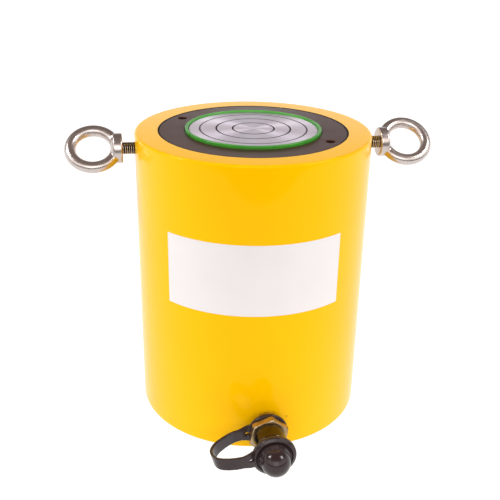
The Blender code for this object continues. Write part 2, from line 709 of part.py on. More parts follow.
def check_valve():
    """Retainer washer, spring and poppet, in the order they go into the sleeve."""
    washer_rear = chamber_rear
    washer_front = chamber_rear + RETAINER_THICKNESS - GAP
    washer = [
        (RETAINER_HOLE / 2, washer_rear),
        (SPIGOT_DIAMETER / 2, washer_rear),
        (SPIGOT_DIAMETER / 2, washer_front),
        (RETAINER_HOLE / 2, washer_front),
    ]
    on_coupler_axis("valve_retainer", revolve(washer, SMALL_FACETS), PLAIN_STEEL)
    head = POPPET_HEAD_DIAMETER / 2
    stem = POPPET_STEM_DIAMETER / 2
    head_front = seat_rear - GAP
    head_rear = head_front - POPPET_HEAD_LENGTH
    poppet = [
        (0, head_rear),
        (head, head_rear),
        (head, head_front),
        (stem + POPPET_CONE, head_front + POPPET_CONE),
        (stem, head_front + POPPET_CONE),
        (stem, head_front + POPPET_STEM_REACH),
        (0, head_front + POPPET_STEM_REACH),
    ]
    on_coupler_axis("coupler_poppet", revolve(poppet, SMALL_FACETS), PLAIN_STEEL)
    coil = helix(VALVE_SPRING_DIAMETER / 2, VALVE_SPRING_WIRE, washer_front + GAP, head_rear - GAP,
                 VALVE_SPRING_TURNS)
    on_coupler_axis("valve_spring", coil, SPRING_STEEL)


def dust_cap():
    """The moulded rubber cap: flange, groove for the strap's ring, skirt and dome, hollow inside."""
    dome = CAP_DOME_DIAMETER / 2
    inside = NOSE_DIAMETER / 2 + GAP
    hollow = dome - CAP_CROWN_THICKNESS
    profile = [
        (inside, cap_rear),
        (CAP_FLANGE_DIAMETER / 2, cap_rear),
        (CAP_FLANGE_DIAMETER / 2, cap_groove_rear),
        (CAP_GROOVE_DIAMETER / 2, cap_groove_rear),
        (CAP_GROOVE_DIAMETER / 2, cap_groove_front),
        (CAP_SKIRT_DIAMETER / 2, cap_groove_front),
        (CAP_SKIRT_DIAMETER / 2 - CAP_SKIRT_TAPER, cap_skirt_front),
        (dome, cap_skirt_front),
    ]
    profile += arc((0, cap_dome_centre), dome, 0, 90, 5)[:-1] + [(0, cap_dome_centre + dome)]
    ceiling = nose_end + GAP
    profile += [(0, cap_dome_centre + hollow)]
    profile += [point for point in arc((0, cap_dome_centre), hollow, 90, 0, 4)[1:] if point[1] > ceiling]
    profile += [(hollow, ceiling), (inside, ceiling)]
    on_coupler_axis("dust_cap", revolve(profile, SMALL_FACETS), RUBBER)


def smooth_path(points, steps):
    """A Catmull-Rom curve through a few points."""
    ends = [points[0] * 2 - points[1]] + points + [points[-1] * 2 - points[-2]]
    path = []
    for before, start, end, after in zip(ends, ends[1:], ends[2:], ends[3:]):
        for step in range(steps):
            t = step / steps
            line = 2 * start + (end - before) * t
            bend = (2 * before - 5 * start + 4 * end - after) * t ** 2
            twist = (3 * start - before - 3 * end + after) * t ** 3
            path.append((line + bend + twist) / 2)
    path.append(points[-1])
    return path


def cap_strap():
    """One rubber moulding: a ring on the shank, one in the cap's groove and the folded band between."""
    rear_front = hex_rear - GAP
    rear_middle = rear_front - STRAP_REAR_RING_THICKNESS / 2
    front_rear = cap_groove_rear + GAP
    front_middle = front_rear + STRAP_FRONT_RING_THICKNESS / 2
    rear_radius = STRAP_REAR_RING_DIAMETER / 2
    front_radius = STRAP_FRONT_RING_DIAMETER / 2
    band = STRAP_BAND_WIDTH / 2
    reach = STRAP_LOOP_REACH
    run = front_middle - rear_middle
    rear_shares = (STRAP_REAR_ROOT_SHARE, STRAP_REAR_LEAVE_SHARE)
    route = [Vector((-share * rear_radius, rear_middle)) for share in rear_shares]
    route += [Vector((-out * reach, rear_middle + along * run)) for out, along in STRAP_FOLD_SHARES]
    route.append(Vector((-STRAP_FRONT_ROOT_SHARE * front_radius, front_middle)))
    path = smooth_path(route, 2)
    bm = bmesh.new()
    sections = []
    for index, point in enumerate(path):
        before = path[max(index - 1, 0)]
        after = path[min(index + 1, len(path) - 1)]
        along = (after - before).normalized()
        across = Vector((-along.y, along.x)) * STRAP_BAND_THICKNESS / 2
        root, ring_radius = (path[0], rear_radius) if index < len(path) / 2 else (path[-1], front_radius)
        nearness = max(0, 1 - (point - root).length / (STRAP_NECK_LENGTH_SHARE * ring_radius))
        flare = nearness * STRAP_NECK_FLARE_SHARE * ring_radius
        lean = STRAP_FOLD_LEAN * (point.x / reach) ** 2
        corners = []
        for flat, rise in ((-1, -1), (1, -1), (1, 1), (-1, 1)):
            place = point + across * flat
            corners.append(bm.verts.new((place.x * (1 + rise * lean), rise * (band + flare), place.y)))
        sections.append(corners)
    for near, far in zip(sections, sections[1:]):
        for side in range(4):
            after = (side + 1) % 4
            bm.faces.new((near[side], near[after], far[after], far[side]))
    bm.faces.new(sections[0])
    bm.faces.new(sections[-1])
    strap = on_coupler_axis("cap_strap", bm, RUBBER)
    rear_ring = [
        (SHANK_DIAMETER / 2 + GAP, rear_front - STRAP_REAR_RING_THICKNESS),
        (rear_radius, rear_front - STRAP_REAR_RING_THICKNESS),
        (rear_radius, rear_front),
        (SHANK_DIAMETER / 2 + GAP, rear_front),
    ]
    lip_inner = STRAP_LIP_DIAMETER / 2
    lip_front = front_rear + STRAP_FRONT_RING_THICKNESS + STRAP_LIP_RISE
    front_ring = [
        (CAP_GROOVE_DIAMETER / 2 + GAP, front_rear),
        (front_radius, front_rear),
        (front_radius, front_rear + STRAP_FRONT_RING_THICKNESS),
        (lip_inner + STRAP_LIP_WIDTH, lip_front),
        (lip_inner, lip_front),
        (lip_inner, front_rear + STRAP_FRONT_RING_THICKNESS),
        (CAP_GROOVE_DIAMETER / 2 + 3 * GAP, front_rear + STRAP_FRONT_RING_THICKNESS),
        (CAP_GROOVE_DIAMETER / 2 + GAP, front_rear + STRAP_FRONT_RING_THICKNESS - 2 * GAP),
    ]
    combine(strap, on_coupler_axis("strap_rear_ring", revolve(rear_ring, SMALL_FACETS), None), "UNION")
    combine(strap, on_coupler_axis("strap_front_ring", revolve(front_ring, SMALL_FACETS), None), "UNION")
    half = STRAP_SLOT_HEIGHT / 2
    for name, edge, middle in (("rear", rear_radius, rear_middle), ("front", front_radius, front_middle)):
        low = (-edge - STRAP_SLOT_LENGTH / 2, -half, middle - STRAP_SLOT_DEPTH / 2)
        high = (-edge + STRAP_SLOT_LENGTH / 2, half, middle + STRAP_SLOT_DEPTH / 2)
        combine(strap, on_coupler_axis(f"strap_{name}_slot_cut", block(low, high), None), "DIFFERENCE")


def eye_bolt(name, side, turn):
    """A forged eye bolt: thread, collar and ring, turned about its own axis as it was screwed in."""
    thread = EYE_THREAD_DIAMETER / 2
    collar = EYE_COLLAR_DIAMETER / 2
    collar_rear = body_radius + EYE_THREAD_EXPOSED
    collar_front = collar_rear + EYE_COLLAR_LENGTH
    ring_radius = EYE_RING_DIAMETER / 2
    ring_centre = collar_rear + EYE_RING_STANDOFF + EYE_RING_SECTION / 2 + ring_radius
    profile = [
        (0, body_radius - EYE_THREAD_ENGAGEMENT),
        (thread - EYE_THREAD_CHAMFER, body_radius - EYE_THREAD_ENGAGEMENT),
        (thread, body_radius - EYE_THREAD_ENGAGEMENT + EYE_THREAD_CHAMFER),
        (thread, collar_rear),
        (collar - EYE_COLLAR_ROUND, collar_rear),
        (collar, collar_rear + EYE_COLLAR_ROUND),
        (collar, collar_front - EYE_COLLAR_CROWN),
        (EYE_RING_SECTION / 2 + EYE_NECK_FILLET, collar_front + EYE_COLLAR_CROWN),
        (0, collar_front + EYE_COLLAR_CROWN),
    ]
    place = (0, 0, eye_bolt_z)
    tilt = (-turn, side * math.pi / 2, 0)
    bolt = add_object(name, revolve(profile, BOLT_FACETS), STAINLESS, place, tilt, "YXZ")
    section = arc((ring_radius, 0), EYE_RING_SECTION / 2, 0, 360, EYE_SECTION_FACETS)[:-1]
    ring = revolve(section, SMALL_FACETS)
    bmesh.ops.rotate(ring, verts=ring.verts, cent=(0, 0, 0), matrix=Matrix.Rotation(math.pi / 2, 3, "X"))
    bmesh.ops.translate(ring, verts=ring.verts, vec=(0, 0, ring_centre))
    eye = add_object(f"{name}_ring", ring, None, place, tilt, "YXZ")
    combine(bolt, eye, "UNION")


for leftover in list(bpy.data.objects):
    bpy.data.objects.remove(leftover, do_unlink=True)

PAINT = material("yellow_enamel", (0.98, 0.55, 0.01), 0.0, 0.28)
BLACK_STEEL = material("blacked_steel", (0.09, 0.07, 0.065), 0.6, 0.45)
GREEN_URETHANE = material("green_urethane", (0.04, 0.26, 0.03), 0.0, 0.4)
CHROMED_STEEL = material("chromed_steel", (0.62, 0.58, 0.62), 1.0, 0.22)
GROUND_STEEL = material("ground_steel", (0.62, 0.58, 0.62), 1.0, 0.3)
PLAIN_STEEL = material("plain_steel", (0.5, 0.5, 0.5), 1.0, 0.35)
SPRING_STEEL = material("oiled_spring_steel", (0.12, 0.12, 0.13), 0.8, 0.4)
STAINLESS = material("stainless_steel", (0.6, 0.57, 0.55), 1.0, 0.2)
ZINC_YELLOW = material("yellow_zinc", (0.5, 0.36, 0.12), 1.0, 0.3)
ZINC_OLIVE = material("olive_zinc", (0.16, 0.12, 0.04), 1.0, 0.3)
BRONZE = material("bronze", (0.6, 0.38, 0.16), 1.0, 0.35)
PTFE = material("white_ptfe", (0.85, 0.85, 0.82), 0.0, 0.4)
NITRILE = material("nitrile_rubber", (0.02, 0.02, 0.02), 0.0, 0.6)
RUBBER = material("black_rubber", (0.035, 0.03, 0.03), 0.0, 0.5)

cylinder_body()
gland_ring()
rod_wiper()
plunger()
saddle()
return_spring()
coupler_adapter()
coupler_sleeve()
check_valve()
dust_cap()
cap_strap()
eye_bolt("eye_bolt_right", 1, EYE_TURN_RIGHT)
eye_bolt("eye_bolt_left", -1, EYE_TURN_LEFT)
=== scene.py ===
# %% [markdown]
# A low hydraulic jack: a yellow steel cylinder with one oil port, a plunger that rises through a black
# ring, two lifting eyes and a capped oil coupler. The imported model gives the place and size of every
# part. It is loaded first and never moved. Each part that shows is then made again beside it with fine
# roundings, and hides the plain one, while the parts inside keep their plain shape and get a finish.

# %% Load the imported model
import json
import math

import bmesh
import bpy
from mathutils import Matrix, Vector


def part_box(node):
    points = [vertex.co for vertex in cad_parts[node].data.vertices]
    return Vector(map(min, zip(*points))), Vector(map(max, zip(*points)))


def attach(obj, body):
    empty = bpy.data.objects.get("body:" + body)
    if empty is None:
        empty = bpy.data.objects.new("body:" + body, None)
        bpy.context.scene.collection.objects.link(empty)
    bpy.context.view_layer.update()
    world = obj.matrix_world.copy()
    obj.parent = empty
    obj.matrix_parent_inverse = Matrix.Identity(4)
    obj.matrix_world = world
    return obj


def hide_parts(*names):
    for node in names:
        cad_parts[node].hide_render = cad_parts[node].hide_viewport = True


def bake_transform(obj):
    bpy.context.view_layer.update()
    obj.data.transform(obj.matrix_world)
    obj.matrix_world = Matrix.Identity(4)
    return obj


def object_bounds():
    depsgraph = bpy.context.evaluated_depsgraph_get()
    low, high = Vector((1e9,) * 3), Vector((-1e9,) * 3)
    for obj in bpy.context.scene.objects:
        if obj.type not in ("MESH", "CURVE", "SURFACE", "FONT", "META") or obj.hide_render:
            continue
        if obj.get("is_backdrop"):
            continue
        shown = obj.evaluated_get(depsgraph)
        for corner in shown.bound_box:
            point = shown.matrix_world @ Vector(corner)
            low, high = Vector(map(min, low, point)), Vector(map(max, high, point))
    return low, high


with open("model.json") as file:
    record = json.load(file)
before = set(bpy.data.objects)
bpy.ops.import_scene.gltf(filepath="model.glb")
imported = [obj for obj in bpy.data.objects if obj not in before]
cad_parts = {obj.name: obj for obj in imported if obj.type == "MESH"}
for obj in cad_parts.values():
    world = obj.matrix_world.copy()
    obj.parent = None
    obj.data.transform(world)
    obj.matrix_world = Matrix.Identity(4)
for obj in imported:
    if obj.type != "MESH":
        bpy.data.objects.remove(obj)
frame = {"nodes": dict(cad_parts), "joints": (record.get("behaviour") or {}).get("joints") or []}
cad_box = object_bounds()
MM = 0.001

# %% [markdown]
# The photograph looks down on the jack from close by, so its wall narrows towards the foot. A fit of the
# rims and side lines gave the camera's place, and a long lens from further off would lose that taper.
# The camera stands nearly nine degrees to the left of the coupler and leans over by about one degree.

# %% Camera
CAMERA_AZIMUTH = math.radians(-8.8)
CAMERA_ELEVATION = math.radians(24.2)
CAMERA_ROLL = math.radians(1.09)
CAMERA_DISTANCE = 644.1 * MM
AIM_HEIGHT = 127.4 * MM
AIM_SIDE = -0.74 * MM
IMAGE_SIZE = 500
FOCAL_PIXELS = 790.7
SENSOR_WIDTH = 36.0

sideways = Vector((math.cos(CAMERA_AZIMUTH), math.sin(CAMERA_AZIMUTH), 0))
to_camera = Vector((
    math.sin(CAMERA_AZIMUTH) * math.cos(CAMERA_ELEVATION),
    -math.cos(CAMERA_AZIMUTH) * math.cos(CAMERA_ELEVATION),
    math.sin(CAMERA_ELEVATION),
))
upwards = to_camera.cross(sideways)
aim = sideways * AIM_SIDE + Vector((0, 0, AIM_HEIGHT))
leaning_side = math.cos(CAMERA_ROLL) * sideways + math.sin(CAMERA_ROLL) * upwards
leaning_up = math.cos(CAMERA_ROLL) * upwards - math.sin(CAMERA_ROLL) * sideways
turn = Matrix((leaning_side, leaning_up, to_camera)).transposed().to_4x4()

camera = bpy.data.objects.new("camera", bpy.data.cameras.new("camera"))
camera.data.sensor_width = SENSOR_WIDTH
camera.data.lens = FOCAL_PIXELS / IMAGE_SIZE * SENSOR_WIDTH
camera.matrix_world = Matrix.Translation(aim + CAMERA_DISTANCE * to_camera) @ turn
bpy.context.scene.collection.objects.link(camera)
bpy.context.scene.camera = camera
print("lens in mm:", round(camera.data.lens, 2))

# %% [markdown]
# Colours are written the way a paint chart gives them, as hex codes, and one function turns them to the
# linear values that Blender calculates with. A second function adds a shader node. Its settings are the
# node's own, and its inputs are numbers, colours or other nodes' sockets, so every finish below reads
# as a short recipe. A third one starts a finish and keeps its even numbers on the shader itself. No real
# surface is even, so another lets colour and roughness drift over patches as large as the real ones.

# %% Tools for finishes
def linear(hex_code):
    """Turn an sRGB hex colour into the linear RGBA that a shader takes."""
    channels = [int(hex_code[at:at + 2], 16) / 255 for at in (1, 3, 5)]
    return [c / 12.92 if c <= 0.04045 else ((c + 0.055) / 1.055) ** 2.4 for c in channels] + [1.0]


def add_node(tree, kind, inputs=None, **settings):
    """Add one node, set what it is, and fill or link its inputs."""
    made = tree.nodes.new("ShaderNode" + kind)
    for name, value in settings.items():
        setattr(made, name, value)
    for socket, value in (inputs or {}).items():
        if isinstance(value, bpy.types.NodeSocket):
            tree.links.new(value, made.inputs[socket])
        else:
            made.inputs[socket].default_value = value
    return made


def start_finish(name, colour, metallic, roughness, even=None):
    """Make a material, set its even values on its shader, and hand back its tree, shader and place."""
    made = bpy.data.materials.new(name)
    made.use_nodes = True
    tree = made.node_tree
    shader = tree.nodes["Principled BSDF"]
    shader.inputs["Base Color"].default_value = linear(colour)
    shader.inputs["Metallic"].default_value = metallic
    shader.inputs["Roughness"].default_value = roughness
    for socket, value in (even or {}).items():
        shader.inputs[socket].default_value = value
    place = add_node(tree, "TexCoord").outputs["Object"]
    return made, tree, shader, place


def per_length(size_mm):
    """The scale that makes one cell of a texture as large as a real length."""
    return 1 / (size_mm * MM)


def colour_mix(tree, share, low, high):
    """A colour that runs from one to another as a share goes from 0 to 1."""
    return add_node(tree, "Mix", {0: share, 6: low, 7: high}, data_type="RGBA").outputs[2]


def vary(tree, shader, socket, factor, low, high):
    """Let a value or colour of the shader run between two ends as a pattern goes from 0 to 1."""
    if isinstance(low, str):
        mixed = colour_mix(tree, factor, linear(low), linear(high))
        tree.links.new(mixed, shader.inputs[socket])
    else:
        ranged = add_node(tree, "MapRange", {"Value": factor, "To Min": low, "To Max": high})
        tree.links.new(ranged.outputs["Result"], shader.inputs[socket])


def mottle(tree, shader, place, size_mm, detail, colours=None, roughness=None):
    """Let colour and roughness drift over patches of a real size, and hand back the pattern."""
    inputs = {"Vector": place, "Scale": per_length(size_mm), "Detail": detail}
    pattern = add_node(tree, "TexNoise", inputs).outputs[0]
    if colours:
        vary(tree, shader, "Base Color", pattern, *colours)
    if roughness:
        vary(tree, shader, "Roughness", pattern, *roughness)
    return pattern


def emboss(tree, shader, height, depth_mm, strength):
    """Let a pattern raise the surface by a real depth."""
    inputs = {"Height": height, "Distance": depth_mm * MM, "Strength": strength}
    bump = add_node(tree, "Bump", inputs)
    tree.links.new(bump.outputs["Normal"], shader.inputs["Normal"])


# %% [markdown]
# The body is finished in yellow alkyd enamel, sprayed and stoved. The gloss over so dense a pigment is
# weak and warm when the wall is seen straight on, and turns white only along its sides, so the base
# gets a low, tinted reflection. A thin clear coat over it draws the sharp light line along the rim.
# Spraying leaves a low orange peel, about three millimetres from crest to crest, and the colour drifts
# a little where the film is thicker. One pinhole beside the coupler is a small dark dot, made by the
# distance from its place.

# %% Yellow enamel
PEEL_SIZE = 3.0
DRIFT_SIZE = 70.0
PINHOLE = Vector((16.4, -88.5, 26.2)) * MM
PINHOLE_RADIUS = 0.55 * MM

ENAMEL_GLOSS = {
    "Specular IOR Level": 0.2,
    "Specular Tint": linear("#FFB848"),
    "Coat Weight": 0.1,
    "Coat Roughness": 0.05,
}

yellow_enamel, tree, shader, place = start_finish("yellow_enamel", "#F8BC00", 0.0, 0.2, ENAMEL_GLOSS)
drift = mottle(tree, shader, place, DRIFT_SIZE, 2.0)
mixed = colour_mix(tree, drift, linear("#F7B900"), linear("#F9BF00"))
away = add_node(tree, "VectorMath", {0: place, 1: PINHOLE}, operation="DISTANCE")
dot = add_node(tree, "Math", {0: away.outputs["Value"], 1: PINHOLE_RADIUS}, operation="LESS_THAN")
dotted = colour_mix(tree, dot.outputs[0], mixed, linear("#5A3A10"))
tree.links.new(dotted, shader.inputs["Base Color"])
peel = mottle(tree, shader, place, PEEL_SIZE, 1.0, roughness=(0.16, 0.24))
emboss(tree, shader, peel, 0.01, 0.12)
print("made", yellow_enamel.name)

# %% [markdown]
# The gland ring is turned steel, blacked in a hot salt bath. The oxide is thin, so the fine rings that
# the lathe left still show, and the bath leaves red-brown clouds. Rings round the Z axis come from a
# wave texture. A wave repeats after a length that follows from its scale, so a function works it out.
# Grooves and gaps on the top get a finish of their own, nearly black and dull: painted shade where shade
# falls in them.

# %% Blacked steel and the other turned finishes
WAVE_UNIT = 20.0
FEED = 0.45
CLOUD_SIZE = 14.0
GAP_SHADE_SIZE = 3.0


def feed_scale(feed_mm):
    """The wave texture's scale that puts its crests one tool feed apart."""
    return math.tau / (WAVE_UNIT * feed_mm * MM)


def turned_rings(tree, place, feed_mm):
    """Crests of a facing cut: rings round the Z axis."""
    inputs = {"Vector": place, "Scale": feed_scale(feed_mm), "Distortion": 0.4, "Detail Scale": 2.0}
    return add_node(tree, "TexWave", inputs, wave_type="RINGS", rings_direction="Z").outputs[1]


blacked_steel, tree, shader, place = start_finish(
    "blacked_steel", "#43261F", 0.3, 0.34, {"Anisotropic": 0.5, "Specular IOR Level": 0.32})
around = add_node(tree, "Tangent", direction_type="RADIAL", axis="Z")
tree.links.new(around.outputs[0], shader.inputs["Tangent"])
mottle(tree, shader, place, CLOUD_SIZE, 5.0, ("#3A211A", "#4C2C23"), (0.28, 0.4))
emboss(tree, shader, turned_rings(tree, place, FEED), 0.004, 0.5)

# Painted shade: a near-black, dull finish for the faces in grooves and gaps.
painted_gap_shade, tree, shader, place = start_finish("painted_gap_shade", "#140F0D", 0.0, 0.6)
mottle(tree, shader, place, GAP_SHADE_SIZE, 4.0, ("#0C0908", "#1D1614"), (0.5, 0.7))
print("made", blacked_steel.name, painted_gap_shade.name)

# %% [markdown]
# The load plate is mild steel, faced on a lathe and left bare. Its fine rings spread each light into a
# bright fan across them, the way a pan's bottom shines. The anisotropy setting does that: the shader
# stretches its highlight across a tangent, and the tangent runs round the Z axis like the tool did.
# The rod's end was faced the same way after the rod was chromed, so it shares this finish.

# %% Faced steel
SADDLE_FEED = 0.6
SMUDGE_SIZE = 22.0

faced_steel, tree, shader, place = start_finish("faced_steel", "#F4F0FF", 1.0, 0.54, {"Anisotropic": 0.7})
around = add_node(tree, "Tangent", direction_type="RADIAL", axis="Z")
tree.links.new(around.outputs[0], shader.inputs["Tangent"])
mottle(tree, shader, place, SMUDGE_SIZE, 6.0, ("#EDE7F9", "#FBF8FF"), (0.5, 0.6))
emboss(tree, shader, turned_rings(tree, place, SADDLE_FEED), 0.006, 0.6)
print("made", faced_steel.name)

# %% [markdown]
# The rod is hard chromed and ground: smooth, bright and a little blue. The eye bolts are polished
# stainless steel, with long faint scratches from the belt. Both keep a metal's own reflections and vary
# only their roughness, by noise that is stretched along the belt's path for the scratches. The bolts'
# threads get painted shade and painted highlight: their colour follows the distance from the bolts'
# common axis, near black in the roots and bright on the crests.

# %% Chrome and stainless steel
HAZE_SIZE = 8.0
TARNISH_SIZE = 9.0
SCRATCH_WIDTH = 0.6
BELT_STRETCH = (0.12, 1.0, 1.0)
ROOT_SHADE_RADIUS = 4.45 * MM
CREST_HIGHLIGHT_RADIUS = 4.85 * MM

hard_chrome, tree, shader, place = start_finish("hard_chrome", "#D4D2D8", 1.0, 0.14)
mottle(tree, shader, place, HAZE_SIZE, 4.0, roughness=(0.1, 0.2))

polished_stainless, tree, shader, place = start_finish("polished_stainless", "#C6BDB9", 1.0, 0.29)
belt = add_node(tree, "Mapping", {"Vector": place, "Scale": BELT_STRETCH}).outputs[0]
mottle(tree, shader, place, TARNISH_SIZE, 3.0, ("#B8ADA8", "#D4CBC7"))
scratch = mottle(tree, shader, belt, SCRATCH_WIDTH, 3.0, roughness=(0.23, 0.35))
emboss(tree, shader, scratch, 0.002, 0.12)

cut_thread, tree, shader, place = start_finish("cut_thread", "#C9C1BD", 1.0, 0.2)
eye_height = next(joint["pos_m"][2] for joint in frame["joints"] if joint["name"] == "right_eye_turn")
raised = add_node(tree, "VectorMath", {0: place, 1: (0, 0, -eye_height)})
across = add_node(tree, "VectorMath", {0: raised.outputs[0], 1: (0, 1, 1)}, operation="MULTIPLY")
reach = add_node(tree, "VectorMath", {0: across.outputs[0]}, operation="LENGTH").outputs["Value"]
# Painted shade in the thread's roots and painted highlight on its crests, by distance from the axis.
crest = add_node(tree, "MapRange", {"Value": reach, "From Min": ROOT_SHADE_RADIUS, "From Max": CREST_HIGHLIGHT_RADIUS})
vary(tree, shader, "Base Color", crest.outputs["Result"], "#1E1714", "#F6EEE8")
vary(tree, shader, "Roughness", crest.outputs["Result"], 0.5, 0.18)
print("made", hard_chrome.name, polished_stainless.name, cut_thread.name)

# %% [markdown]
# The coupler is steel, zinc plated and passivated. The bath leaves an iridescent film, gold on the
# hexagon and a darker olive on the sleeve, whose colour wanders between yellow, green and rose. Two
# noises drive it: a slow one that drifts between two tints and a faster one for the roughness.

# %% Passivated zinc
FILM_DRIFT = 6.0
FILM_GRAIN = 0.8


def passivated(name, first, second, roughness):
    """Zinc under a chromate film whose tint drifts between two colours."""
    made, tree, shader, place = start_finish(name, first, 1.0, roughness)
    drift = mottle(tree, shader, place, FILM_DRIFT, 4.0)
    spread = add_node(tree, "MapRange", {"Value": drift, "From Min": 0.3, "From Max": 0.7})
    vary(tree, shader, "Base Color", spread.outputs["Result"], first, second)
    grain = mottle(tree, shader, place, FILM_GRAIN, 3.0, roughness=(roughness - 0.06, roughness + 0.1))
    emboss(tree, shader, grain, 0.006, 0.4)
    return made


gold_zinc = passivated("gold_zinc", "#C2A882", "#A48C66", 0.3)
olive_zinc = passivated("olive_zinc", "#5A5140", "#3F382C", 0.2)
print("made", gold_zinc.name, olive_zinc.name)

# %% [markdown]
# The wiper is cast green polyurethane, slightly translucent, so light softens inside it. The cap and its
# strap are moulded black rubber: satin, with a fine grain from the mould and a faint bloom on edges
# that face away. Sheen gives that bloom. The seals inside are smooth nitrile rubber.

# %% Urethane and rubber
FLOW_SIZE = 11.0
BLOOM_SIZE = 7.0

green_urethane, tree, shader, place = start_finish(
    "green_urethane", "#3B9A22", 0.0, 0.3, {"Subsurface Weight": 0.15, "Subsurface Scale": 2 * MM})
mottle(tree, shader, place, FLOW_SIZE, 2.0, ("#2A8019", "#429E2A"), (0.24, 0.36))


def moulded_rubber(name, dark, light, grain_mm, roughness, sheen):
    """Rubber from a mould: a fine grain, and a bloom that drifts."""
    even = {"Sheen Weight": sheen, "Specular IOR Level": 0.4}
    made, tree, shader, place = start_finish(name, dark, 0.0, roughness, even)
    mottle(tree, shader, place, BLOOM_SIZE, 6.0, (dark, light))
    grain = mottle(tree, shader, place, grain_mm, 2.0, roughness=(roughness - 0.03, roughness + 0.05))
    emboss(tree, shader, grain, 0.015, 0.3)
    return made


black_rubber = moulded_rubber("black_rubber", "#251718", "#322324", 0.7, 0.18, 0.04)
nitrile_rubber = moulded_rubber("nitrile_rubber", "#121212", "#1C1B1B", 1.2, 0.5, 0.0)
print("made", green_urethane.name, black_rubber.name, nitrile_rubber.name)

# %% [markdown]
# The plate on the front is a sheet of white vinyl film with a satin gloss. It stays bare here. The parts
# inside the jack are oiled spring steel, machined steel, bronze and white fluoropolymer, each with the
# marks of how it was made, so that they look right when the model is taken apart.

# %% Vinyl and the finishes inside
FILM_WAVE = 30.0
TINT_SIZE = 12.0
WAX_SIZE = 6.0

white_vinyl, tree, shader, place = start_finish(
    "white_vinyl", "#E0DCDC", 0.0, 0.36, {"Coat Weight": 0.2, "Coat Roughness": 0.2})
film = mottle(tree, shader, place, FILM_WAVE, 3.0, ("#DDD9D9", "#E4E0E0"))
emboss(tree, shader, film, 0.05, 0.2)


def turned_metal(name, dark, light, roughness, feed_mm):
    """A plain machined metal with cutting rings and a drifting tint."""
    made, tree, shader, place = start_finish(name, dark, 1.0, roughness)
    mottle(tree, shader, place, TINT_SIZE, 5.0, (dark, light), (roughness - 0.06, roughness + 0.08))
    emboss(tree, shader, turned_rings(tree, place, feed_mm), 0.005, 0.4)
    return made


machined_steel = turned_metal("machined_steel", "#9B9A9C", "#B8B7B9", 0.34, 0.5)
spring_steel = turned_metal("oiled_spring_steel", "#4A4A4F", "#5E5D62", 0.36, 0.9)
bearing_bronze = turned_metal("bearing_bronze", "#B08043", "#C89A5B", 0.36, 0.4)

white_ptfe, tree, shader, place = start_finish(
    "white_ptfe", "#E9E9E4", 0.0, 0.4, {"Subsurface Weight": 0.1, "Subsurface Scale": 2 * MM})
mottle(tree, shader, place, WAX_SIZE, 2.0, ("#E2E2DC", "#F0F0EC"), (0.34, 0.46))
print("made", white_vinyl.name, machined_steel.name, bearing_bronze.name, white_ptfe.name)

# %% [markdown]
# Nearly everything here was turned on a lathe, so nearly everything is a half-section spun round an
# axis. A real edge is never sharp: each corner of a section may carry a fillet, given in millimetres,
# and those thin bands are what catch the light. Weighted normals keep the flats flat beside them. What
# isn't turned, such as a thread or a coil, is a row of rings of points, which a second function joins
# into a skin. A piece may wear more than one finish, so another function changes it on the faces within
# a ring, such as the painted shade in a groove.

# %% Tools for turned pieces
FINE_TURN = 160
SMALL_TURN = 96
FILLET_STEPS = 4
SHARP_EDGE = math.radians(40)


def section(*corners):
    """Round each corner (radius, height, fillet if any), all in mm, and hand back points in metres."""
    points = []
    for index, (across, height, *rounding) in enumerate(corners):
        here = Vector((across, height))
        if not rounding:
            points.append(here * MM)
            continue
        fillet = rounding[0]
        before = Vector(corners[index - 1][:2]) - here
        after = Vector(corners[(index + 1) % len(corners)][:2]) - here
        half = before.angle(after) / 2
        middle = (before.normalized() + after.normalized()).normalized()
        centre = here + middle * fillet / math.sin(half)
        reach = fillet / math.tan(half)
        start = here + before.normalized() * reach - centre
        end = here + after.normalized() * reach - centre
        for step in range(FILLET_STEPS + 1):
            share = step / FILLET_STEPS
            swept = start.normalized().slerp(end.normalized(), share)
            points.append((centre + swept * fillet) * MM)
    return points


def spin(points, segments=SMALL_TURN):
    """Spin a closed half-section round Z into a mesh."""
    mesh = bmesh.new()
    rings = []
    for across, height in points:
        count = segments if across > 0.01 * MM else 1
        angles = [math.tau * step / segments for step in range(count)]
        rings.append([mesh.verts.new((across * math.cos(a), across * math.sin(a), height)) for a in angles])
    for near, far in zip(rings, rings[1:] + rings[:1]):
        if len(near) == 1 and len(far) == 1:
            continue
        for step in range(segments):
            after = (step + 1) % segments
            below = near[step % len(near)], near[after % len(near)]
            above = far[after % len(far)], far[step % len(far)]
            mesh.faces.new(list(dict.fromkeys(below + above)))
    bmesh.ops.recalc_face_normals(mesh, faces=mesh.faces)
    return mesh


def skin(mesh, rings, closed=True):
    """Join rings of points by four-sided faces, and close both ends."""
    for near, far in zip(rings, rings[1:]):
        for step in range(len(near)):
            after = (step + 1) % len(near)
            mesh.faces.new((near[step], near[after], far[after], far[step]))
    if closed:
        mesh.faces.new(rings[0])
        mesh.faces.new(rings[-1])
    bmesh.ops.recalc_face_normals(mesh, faces=mesh.faces)
    return mesh


def add_piece(name, mesh, finish, place=Matrix.Identity(4)):
    """Set a mesh in its place as a smooth piece with one finish."""
    bmesh.ops.transform(mesh, matrix=place, verts=mesh.verts)
    shape = bpy.data.meshes.new(name)
    mesh.to_mesh(shape)
    mesh.free()
    shape.shade_smooth()
    shape.set_sharp_from_angle(angle=SHARP_EDGE)
    shape.materials.append(finish)
    piece = bpy.data.objects.new(name, shape)
    bpy.context.scene.collection.objects.link(piece)
    return piece


def settle(piece):
    """Make what the piece's modifiers show its real mesh."""
    shown = piece.evaluated_get(bpy.context.evaluated_depsgraph_get())
    shape = bpy.data.meshes.new_from_object(shown)
    piece.modifiers.clear()
    piece.data = shape


def carve(piece, tool, operation="DIFFERENCE"):
    """Cut the tool out of the piece, or join it on; the faces that it leaves keep the tool's finish."""
    cut = piece.modifiers.new("carve", "BOOLEAN")
    cut.operation = operation
    cut.material_mode = "TRANSFER"
    cut.object = tool
    settle(piece)
    bpy.data.objects.remove(tool)


